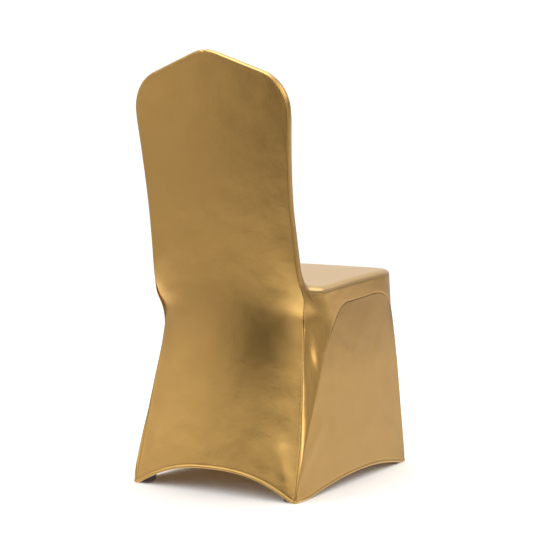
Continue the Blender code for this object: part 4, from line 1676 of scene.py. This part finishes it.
@dataclass
class FootPocket:
    """A small dark knit cup that a foot of the chair stands in.

    Args:
        place: Front or rear.
        side: The side that it is on.
        half_width: How far its centre is from the middle.
        depth: Its centre's depth.
        lean: How far it leans for each metre of height.

    Its other sizes are in metres, but for the sole's inset in radii, the rim's place and breadth in shares of
    the height, the girth in widths, and squareness, which is 2 for a circle.
    """

    place: str
    side: Side
    half_width: float
    depth: float
    lean: float
    width: float = 0.034
    height: float = 0.022
    cloth: float = 0.0014
    foot_radius: float = 0.005
    foot_start: float = 0.15
    foot_rings: int = 5
    sole_inset: float = 1.4
    floor_gap: float = 0.0003
    squareness: float = 7
    girth: float = 3.6
    rim_swell: float = 0.0005
    rim: tuple[float, float] = (0.92, 0.06)
    wobble: float = 0.0003
    waves: float = 9
    rucks: int = 5
    ruck_size: float = 0.006
    ruck_twist: float = 40
    ruck_foot: float = 0.004
    cloth_share: float = 0.62
    around: int = 64
    rows_up: int = 14

    @property
    def node(self) -> str:
        """The solid's node."""
        return f"foot_pocket_{self.place}_{self.side.word}"

    @property
    def centre_on_floor(self) -> Points:
        """The cup's centre on the floor."""
        return np.array([self.side.value * self.half_width, self.depth - MIDDLE_DEPTH])

    def build(self, finishes: Finishes) -> Object:
        """Args:
            finishes: The materials.

        Returns:
            The cup's object.
        """
        shape = bmesh.new()
        layer = shape.loops.layers.uv.new("Cloth")
        rings = [self._ring(shape, *row) for row in self._rows()]
        for low, high in zip(rings, rings[1:]):
            for here in range(self.around):
                there = (here + 1) % self.around
                face = shape.faces.new((low[here], low[there], high[there], high[here]))
                corners = ((here, low), (here + 1, low), (here + 1, high), (here, high))
                for loop, (index, ring) in zip(face.loops, corners):
                    loop[layer].uv = (index / self.around * self.girth * self.width, ring[0].co.z)
        shape.faces.new(rings[0][::-1])
        bmesh.ops.recalc_face_normals(shape, faces=shape.faces)
        mesh = bpy.data.meshes.new(f"{self.node}_knit")
        shape.to_mesh(mesh)
        shape.free()
        mesh.shade_smooth()
        cup = placed(mesh.name, mesh)
        mesh.materials.append(finishes.plain(POCKET_BROWN))
        wall = cup.modifiers.new("Cloth", "SOLIDIFY")
        wall.thickness = self.cloth
        wall.offset = -1
        wall.use_even_offset = True
        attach(cup, BODY)
        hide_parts(self.node)
        report(cup)
        return cup

    def _rows(self) -> list[tuple[float, float]]:
        """Each ring's height, and how far it is drawn in: a rounded foot, straight sides and a soft rim."""
        radius = self.foot_radius
        rows = [(self.floor_gap, radius * self.sole_inset)]
        for angle in np.linspace(self.foot_start, 1, self.foot_rings) * math.pi / 2:
            rows.append((radius * (1 - math.cos(angle)) + self.floor_gap, radius * (1 - math.sin(angle))))
        for share in np.linspace(0, 1, self.rows_up)[1:]:
            swell = self.rim_swell * math.exp(-(((share - self.rim[0]) / self.rim[1]) ** 2))
            inset = -swell + self.wobble * math.sin(self.waves * share)
            rows.append((radius + (self.height - radius) * share, inset))
        return rows

    def _ring(self, shape: bmesh.types.BMesh, height: float, inset: float) -> list[bmesh.types.BMVert]:
        """One ring of the cup, a rounded square."""
        ring = []
        centre = self.centre_on_floor
        power = 2 / self.squareness
        half = self.width / 2 - inset
        for step in range(self.around):
            angle = 2 * math.pi * step / self.around
            x = math.copysign(abs(math.cos(angle)) ** power, math.cos(angle))
            y = math.copysign(abs(math.sin(angle)) ** power, math.sin(angle))
            turn = self.rucks * angle + self.ruck_twist * height
            ruck = 1 + self.ruck_size * math.sin(turn) * (height > self.ruck_foot)
            across, along = centre[0] + x * half * ruck, centre[1] + y * half * ruck + self.lean * height
            ring.append(shape.verts.new((across, along, height)))
        return ring


@dataclass
class HemSewer:
    """Sews rows of stitches along hems, made with Geometry Nodes.

    Args:
        finishes: The materials.
        spacing: From stitch to stitch.
        length: Of one stitch.
        radius: Of the thread.
        seed: For the stitches' slight differences.
        bare_ends: How many of the hem's points each end has no stitches on.
        raised: How far the thread's middle stands off the cloth, in radii.
    """

    finishes: Finishes
    spacing: float = 0.0032
    length: float = 0.0025
    radius: float = 0.00032
    seed: int = 7
    bare_ends: int = 4
    raised: float = 0.4

    def __post_init__(self) -> None:
        """Builds the stitch tree once."""
        self.tree = stitch_tree()

    def sew(self, piece: ClothPiece, cut: Cut, outer: Points) -> list[Object]:
        """Sews a piece's hem.

        Args:
            piece: The piece.
            cut: Its cut.
            outer: Its outer points.

        Returns:
            The row of stitches, as a plain mesh.
        """
        row = cut.row(-2 - HEM_ROWS.index(SEWING.stitch_line))[self.bare_ends : -self.bare_ends]
        line = outer[row] + cut.normals[row] * self.radius * self.raised
        name = f"{piece.node}_hem_stitches"
        guide = bpy.data.meshes.new(name)
        guide.from_pydata(line.tolist(), [(i, i + 1) for i in range(len(line) - 1)], [])
        stitches = placed(name, guide)
        modifier = stitches.modifiers.new("Stitches", "NODES")
        modifier.node_group = self.tree
        values = {
            "Spacing": self.spacing,
            "Length": self.length,
            "Radius": self.radius,
            "Seed": self.seed,
            "Thread": self.finishes.plain(GOLD_THREAD),
        }
        for item in self.tree.interface.items_tree:
            if item.item_type == "SOCKET" and item.in_out == "INPUT" and item.name in values:
                modifier[item.identifier] = values[item.name]
        evaluated = stitches.evaluated_get(bpy.context.evaluated_depsgraph_get())
        mesh = bpy.data.meshes.new_from_object(evaluated)
        stitches.modifiers.remove(modifier)
        stitches.data = mesh
        mesh.name = name
        bpy.data.meshes.remove(guide)
        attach(stitches, BODY)
        report(stitches)
        return [stitches]


def stitch_tree() -> Tree:
    """The Geometry Nodes tree that sets stitches along a line of edges."""
    tree = bpy.data.node_groups.new("Row of stitches", "GeometryNodeTree")
    tree.interface.new_socket("Geometry", in_out="INPUT", socket_type="NodeSocketGeometry")
    for name, kind, default in (
        ("Spacing", "NodeSocketFloat", 0.003),
        ("Length", "NodeSocketFloat", 0.0024),
        ("Radius", "NodeSocketFloat", 0.0003),
        ("Seed", "NodeSocketInt", 0),
    ):
        tree.interface.new_socket(name, in_out="INPUT", socket_type=kind).default_value = default
    tree.interface.new_socket("Thread", in_out="INPUT", socket_type="NodeSocketMaterial")
    tree.interface.new_socket("Geometry", in_out="OUTPUT", socket_type="NodeSocketGeometry")
    nodes = Nodes(tree)
    given = nodes.add("NodeGroupInput")
    curve = nodes.add("GeometryNodeMeshToCurve", {0: given.outputs["Geometry"]})
    along = {"Curve": curve.outputs[0], "Length": given.outputs["Spacing"]}
    spaced = nodes.add("GeometryNodeCurveToPoints", along, mode="LENGTH")
    ball = {"Segments": 6, "Rings": 4, "Radius": given.outputs["Radius"]}
    stitch = nodes.add("GeometryNodeMeshUVSphere", ball)
    stretch = nodes.math("DIVIDE", given.outputs["Length"], given.outputs["Radius"])
    size = nodes.add("ShaderNodeCombineXYZ", {0: 1.0, 1: 1.0, 2: nodes.math("MULTIPLY", stretch, 0.5)})
    shaped = nodes.add("GeometryNodeTransform", {"Geometry": stitch.outputs[0], "Scale": size.outputs[0]})
    leans = {0: (-0.10, -0.10, 0.0), 1: (0.10, 0.10, 6.28), "Seed": given.outputs["Seed"]}
    lean = nodes.add("FunctionNodeRandomValue", leans, data_type="FLOAT_VECTOR")
    turns = {0: spaced.outputs["Rotation"], 1: lean.outputs[0]}
    turned = nodes.add("FunctionNodeRotateRotation", turns, rotation_space="LOCAL")
    places = {"Points": spaced.outputs["Points"], "Rotation": turned.outputs[0]}
    row = nodes.add("GeometryNodeInstanceOnPoints", places | {"Instance": shaped.outputs[0]})
    real = nodes.add("GeometryNodeRealizeInstances", {0: row.outputs[0]})
    smooth = nodes.add("GeometryNodeSetShadeSmooth", {0: real.outputs[0]})
    thread = {"Geometry": smooth.outputs[0], "Material": given.outputs["Thread"]}
    dressed = nodes.add("GeometryNodeSetMaterial", thread)
    nodes.add("NodeGroupOutput", {0: dressed.outputs[0]})
    return tree


class Folds:
    """The main folds of each piece, listed where the cloth pulls."""

    BACK = (
        Crease((-0.160, 0.165, 0.405), (-0.085, 0.170, 0.350), 0.014, -0.0012, (0, 0, 0.006)),
        Crease((-0.165, 0.170, 0.430), (-0.070, 0.180, 0.440), 0.013, 0.0009, (0, 0, -0.004)),
        Crease((-0.168, 0.180, 0.455), (-0.100, 0.192, 0.520), 0.012, -0.0008),
        Crease((-0.186, 0.236, 0.022), (-0.158, 0.208, 0.120), 0.014, 0.0026, (0.006, 0, 0)),
        Crease((-0.190, 0.236, 0.030), (-0.120, 0.210, 0.075), 0.010, -0.0007),
        Crease((-0.165, 0.245, 0.860), (-0.090, 0.250, 0.800), 0.016, 0.0006),
    )
    GORE = (
        Crease((-0.1850, 0.170, 0.316), (-0.2040, 0.118, 0.308), 0.040, -0.0042),
        Crease((-0.1860, 0.180, 0.436), (-0.2040, 0.085, 0.388), 0.0100, 0.0007, (0, 0, -0.004)),
        Crease((-0.1880, 0.165, 0.372), (-0.2020, 0.125, 0.352), 0.0030, -0.0005, (0, 0, 0.004)),
        Crease((-0.1870, 0.160, 0.352), (-0.2000, 0.128, 0.338), 0.0026, 0.0006, (0, 0, -0.003)),
        Crease((-0.1860, 0.160, 0.336), (-0.1990, 0.132, 0.326), 0.0024, -0.0005, (0, 0, 0.003)),
        Crease((-0.1900, 0.150, 0.362), (-0.2000, 0.130, 0.345), 0.0020, 0.0005),
        Crease((-0.1880, 0.158, 0.318), (-0.1990, 0.136, 0.300), 0.0032, 0.0006),
        Crease((-0.2000, 0.160, 0.300), (-0.1960, 0.190, 0.200), 0.0060, 0.0006),
    )
    ARCH = (
        Crease((-0.2060, 0.225, 0.040), (-0.2060, 0.120, 0.150), 0.016, 0.0010, (0, 0.010, 0)),
        Crease((-0.2060, 0.075, 0.365), (-0.2060, -0.020, 0.300), 0.018, -0.0010, (0, 0, -0.006)),
        Crease((-0.2050, -0.180, 0.360), (-0.2060, -0.120, 0.250), 0.018, 0.0009),
        Crease((-0.2050, -0.240, 0.060), (-0.2060, -0.150, 0.120), 0.014, 0.0007),
    )
    FRONT = (
        Crease((-0.175, 0.135, 0.455), (-0.110, 0.110, 0.462), 0.008, 0.0012, (0, -0.004, 0)),
        Crease((-0.165, 0.150, 0.470), (-0.120, 0.135, 0.480), 0.007, -0.0008),
        Crease((-0.170, -0.190, 0.458), (-0.120, -0.150, 0.459), 0.010, 0.0008),
        Crease((-0.120, 0.165, 0.520), (-0.080, 0.175, 0.620), 0.016, 0.0006),
    )
    APRON = (
        Crease((-0.185, -0.260, 0.060), (-0.130, -0.245, 0.160), 0.015, 0.0010),
        Crease((-0.180, -0.225, 0.400), (-0.120, -0.225, 0.330), 0.016, 0.0008),
    )

    @staticmethod
    def both_sides(creases: tuple[Crease, ...], strength: float = 0.7) -> list[Crease]:
        """The creases, and their mirrored ones a little different."""
        strengths = [strength * (0.8 + 0.2 * (number % 3)) for number in range(len(creases))]
        return [*creases, *(crease.mirrored(own) for crease, own in zip(creases, strengths))]

    @staticmethod
    def on_side(creases: tuple[Crease, ...], side: Side) -> list[Crease]:
        """The creases of one side, weaker on the side that the photo doesn't show."""
        return list(creases) if side is Side.LEFT else [crease.mirrored(0.8) for crease in creases]


@dataclass(frozen=True)
class Glow:
    """A soft area of the room that is brighter or dimmer than the rest.

    Args:
        azimuth: Its direction in degrees from +Y towards +X.
        elevation: Its height in degrees.
        reach: How far it spreads, in degrees.
        strength: How much it adds, or takes away.
    """

    azimuth: float
    elevation: float
    reach: float
    strength: float

    def direction(self) -> Triple:
        """The direction as a unit vector."""
        turn, rise = math.radians(self.azimuth), math.radians(self.elevation)
        return math.sin(turn) * math.cos(rise), math.cos(turn) * math.cos(rise), math.sin(rise)


@dataclass(frozen=True)
class Softbox:
    """A square soft light.

    Args:
        name: Its name.
        place: Where it stands.
        aim: The point that it looks at.
        power: Its power in watts.
        colour: The colour of its light.
        size: The length of its edges.
    """

    name: str
    place: Triple
    aim: Triple
    power: float
    colour: Triple
    size: float = 1.8

    def build(self) -> None:
        """Sets the light up."""
        light = bpy.data.lights.new(f"softbox_{self.name}", "AREA")
        light.shape = "SQUARE"
        light.size = self.size
        light.energy = self.power
        light.color = self.colour
        holder = placed(light.name, light)
        holder.location = self.place
        holder.rotation_euler = (Vector(self.aim) - Vector(self.place)).to_track_quat("-Z", "Y").to_euler()


@dataclass
class Studio:
    """The pale floor, soft lights, white surroundings and the camera.

    Args:
        camera_place: Where the camera stands.
        camera_turn: Its turn from -Y towards +X, in radians.
        camera_dip: How far it looks down.
        lens: Its lens in millimetres.
        sensor: The width of its sensor in millimetres.
        floor_size: The length of the floor's edges.
        floor_white: How white the floor is.
        room: The room's light at rising heights of a direction, from straight down to straight up.
        warmth: Green and blue for each part of red where the room is darkest. Its lightest parts are white.
        glows: The room's brighter and dimmer areas.
        lights: The soft lights.
        white: The strength of the plain white surroundings.
    """

    camera_place: Triple = (-1.9638, 3.2568, 0.8199)
    camera_turn: float = 0.5392
    camera_dip: float = 0.0979
    lens: float = 110.93
    sensor: float = 36.0
    floor_size: float = 40
    floor_white: float = 0.97
    room: tuple[tuple[float, float], ...] = (
        *((-1.00, 1.00), (-0.74, 1.00), (-0.54, 0.74), (-0.40, 0.38), (-0.28, 0.27), (-0.10, 0.50)),
        *((0.06, 0.50), (0.22, 0.56), (0.38, 0.80), (0.60, 0.80), (1.00, 0.90)),
    )
    warmth: tuple[float, float] = (0.86, 0.84)
    glows: tuple[Glow, ...] = (
        Glow(3.0, -21.0, 33.0, -0.86),
        Glow(15.0, 7.0, 18.0, -1.15),
        Glow(8.0, 30.0, 22.0, 1.10),
        Glow(52.0, -8.0, 34.0, 0.45),
        Glow(-20.0, -40.0, 36.0, 1.20),
        Glow(88.0, -34.0, 34.0, 1.20),
        Glow(-35.0, 2.0, 28.0, 0.70),
        Glow(-56.0, 22.0, 28.0, 3.90),
        Glow(-102.0, 22.0, 24.0, -0.50),
        Glow(24.0, -31.0, 14.0, 1.30),
        Glow(14.0, -16.0, 12.0, -0.35),
        Glow(25.0, 34.0, 13.0, 2.40),
        Glow(149.0, 6.0, 34.0, 0.45),
        Glow(-149.0, -25.0, 29.0, 2.45),
        Glow(-142.0, 6.0, 20.0, -0.85),
    )
    lights: tuple[Softbox, ...] = (
        Softbox("key", (2.6, 2.4, 2.3), (0.0, 0.1, 0.4), 22.0, (1.0, 0.97, 0.92)),
        Softbox("side", (-2.5, -1.4, 2.6), (0.0, 0.0, 0.3), 18.0, (1.0, 0.97, 0.93)),
        Softbox("top", (0.2, -0.4, 3.0), (0.0, 0.0, 0.5), 26.0, (1.0, 0.98, 0.95)),
    )
    white: float = 1.08

    def build(self) -> None:
        """Sets up the stage."""
        self._floor()
        self._surroundings()
        for light in self.lights:
            light.build()
        self._camera()

    def _floor(self) -> None:
        """A wide pale floor."""
        bpy.ops.mesh.primitive_plane_add(size=self.floor_size, location=(0, 0, 0))
        floor = bpy.context.object
        floor.name = "studio_floor"
        material = bpy.data.materials.new("Pale floor")
        material.use_nodes = True
        shader = material.node_tree.nodes["Principled BSDF"]
        pale = (self.floor_white, self.floor_white, self.floor_white, 1)
        values = {"Base Color": pale, "Roughness": 0.9, "Specular IOR Level": 0.1}
        Nodes(material.node_tree).feed(shader, values)
        floor.data.materials.append(material)
        floor.visible_glossy = False

    def _surroundings(self) -> None:
        """Plain white to the camera and the floor, and a graded room in what the cloth's satin shows."""
        world = bpy.data.worlds.new("Studio")
        bpy.context.scene.world = world
        world.use_nodes = True
        nodes = Nodes(world.node_tree)
        world.node_tree.nodes.clear()
        way = nodes.add("ShaderNodeTexCoord").outputs["Generated"]
        rise = nodes.add("ShaderNodeSeparateXYZ", {0: way}).outputs[2]
        ramp = nodes.add("ShaderNodeValToRGB", {0: nodes.ranged(rise, -1.0, 1.0, 0.0, 1.0)})
        points = ramp.color_ramp.elements
        while len(points) < len(self.room):
            points.new(0.5)
        for point, (height, light) in zip(points, self.room):
            point.position = (height + 1) / 2
            green, blue = (least + (1 - least) * min(light, 1) for least in self.warmth)
            point.color = (light, light * green, light * blue, 1)
        strength = 1.0
        for glow in self.glows:
            strength = nodes.math("ADD", self._glow(nodes, way, glow), strength)
        room = nodes.add("ShaderNodeBackground", {"Color": ramp.outputs[0], "Strength": strength})
        white = nodes.add("ShaderNodeBackground", {"Color": (1, 1, 1, 1), "Strength": self.white})
        glossy = nodes.add("ShaderNodeLightPath").outputs["Is Glossy Ray"]
        mixed = nodes.add("ShaderNodeMixShader", {0: glossy, 1: white.outputs[0], 2: room.outputs[0]})
        nodes.add("ShaderNodeOutputWorld", {0: mixed.outputs[0]})

    @staticmethod
    def _glow(nodes: Nodes, way: Socket, glow: Glow) -> Socket:
        """How much a glow adds in a direction."""
        turned = nodes.add("ShaderNodeVectorMath", {0: way, 1: glow.direction()}, operation="DOT_PRODUCT")
        edge = math.cos(math.radians(glow.reach))
        near = turned.outputs["Value"]
        return nodes.ranged(near, edge, 1.0, 0.0, glow.strength, interpolation_type="SMOOTHSTEP")

    def _camera(self) -> None:
        """The camera at the photo's angle."""
        level = math.cos(self.camera_dip)
        ahead = (math.sin(self.camera_turn) * level, -math.cos(self.camera_turn) * level)
        way = Vector((*ahead, -math.sin(self.camera_dip)))
        camera = bpy.data.cameras.new("photo_camera")
        camera.lens = self.lens
        camera.sensor_width = self.sensor
        holder = placed("photo_camera", camera)
        holder.location = self.camera_place
        holder.rotation_euler = way.to_track_quat("-Z", "Y").to_euler()
        bpy.context.scene.camera = holder
        bpy.context.scene.view_settings.view_transform = "Standard"


def main() -> None:
    """Builds the cover and its studio."""
    shape = CoverShape()
    finishes = Finishes()
    places = (("rear", 0.1887, 0.0475, -0.28), ("front", 0.1830, -0.4310, 0.12))
    feet = [FootPocket(place, side, *sizes) for place, *sizes in places for side in Side]
    back = BackPanel("back_panel", "gold_cloth", GOLD, BACK_CUT)
    front = FrontPanel("front_panel", "seat_cloth", SEAT_GOLD, FRONT_CUT)
    apron = FrontApron("front_apron", "gold_cloth", GOLD, APRON_CUT)
    pieces = [(back, back.cut(shape, Folds.both_sides(Folds.BACK)))]
    pieces.append((front, front.cut(shape, Folds.both_sides(Folds.FRONT))))
    pieces.append((apron, apron.cut(shape, Folds.both_sides(Folds.APRON))))
    for side in Side:
        band = SideBand(f"side_band_{side.word}", "gold_cloth", GOLD, BAND_CUT, side)
        arch = ArchPanel(f"arch_{side.word}", "side_cloth", SIDE_GOLD, ARCH_CUT, side)
        pieces.append((band, band.cut(shape, Folds.on_side(Folds.GORE, side))))
        pieces.append((arch, arch.cut(shape, Folds.on_side(Folds.ARCH, side))))
    tailor = Tailor([cut for _, cut in pieces], feet)
    sewer = HemSewer(finishes)
    for piece, cut in pieces:
        piece.dress(cut, tailor, finishes, sewer)
    for foot in feet:
        foot.build(finishes)
    Studio().build()


if __name__ == "__main__":
    logging.basicConfig(level=logging.INFO, format="%(message)s")
    main()
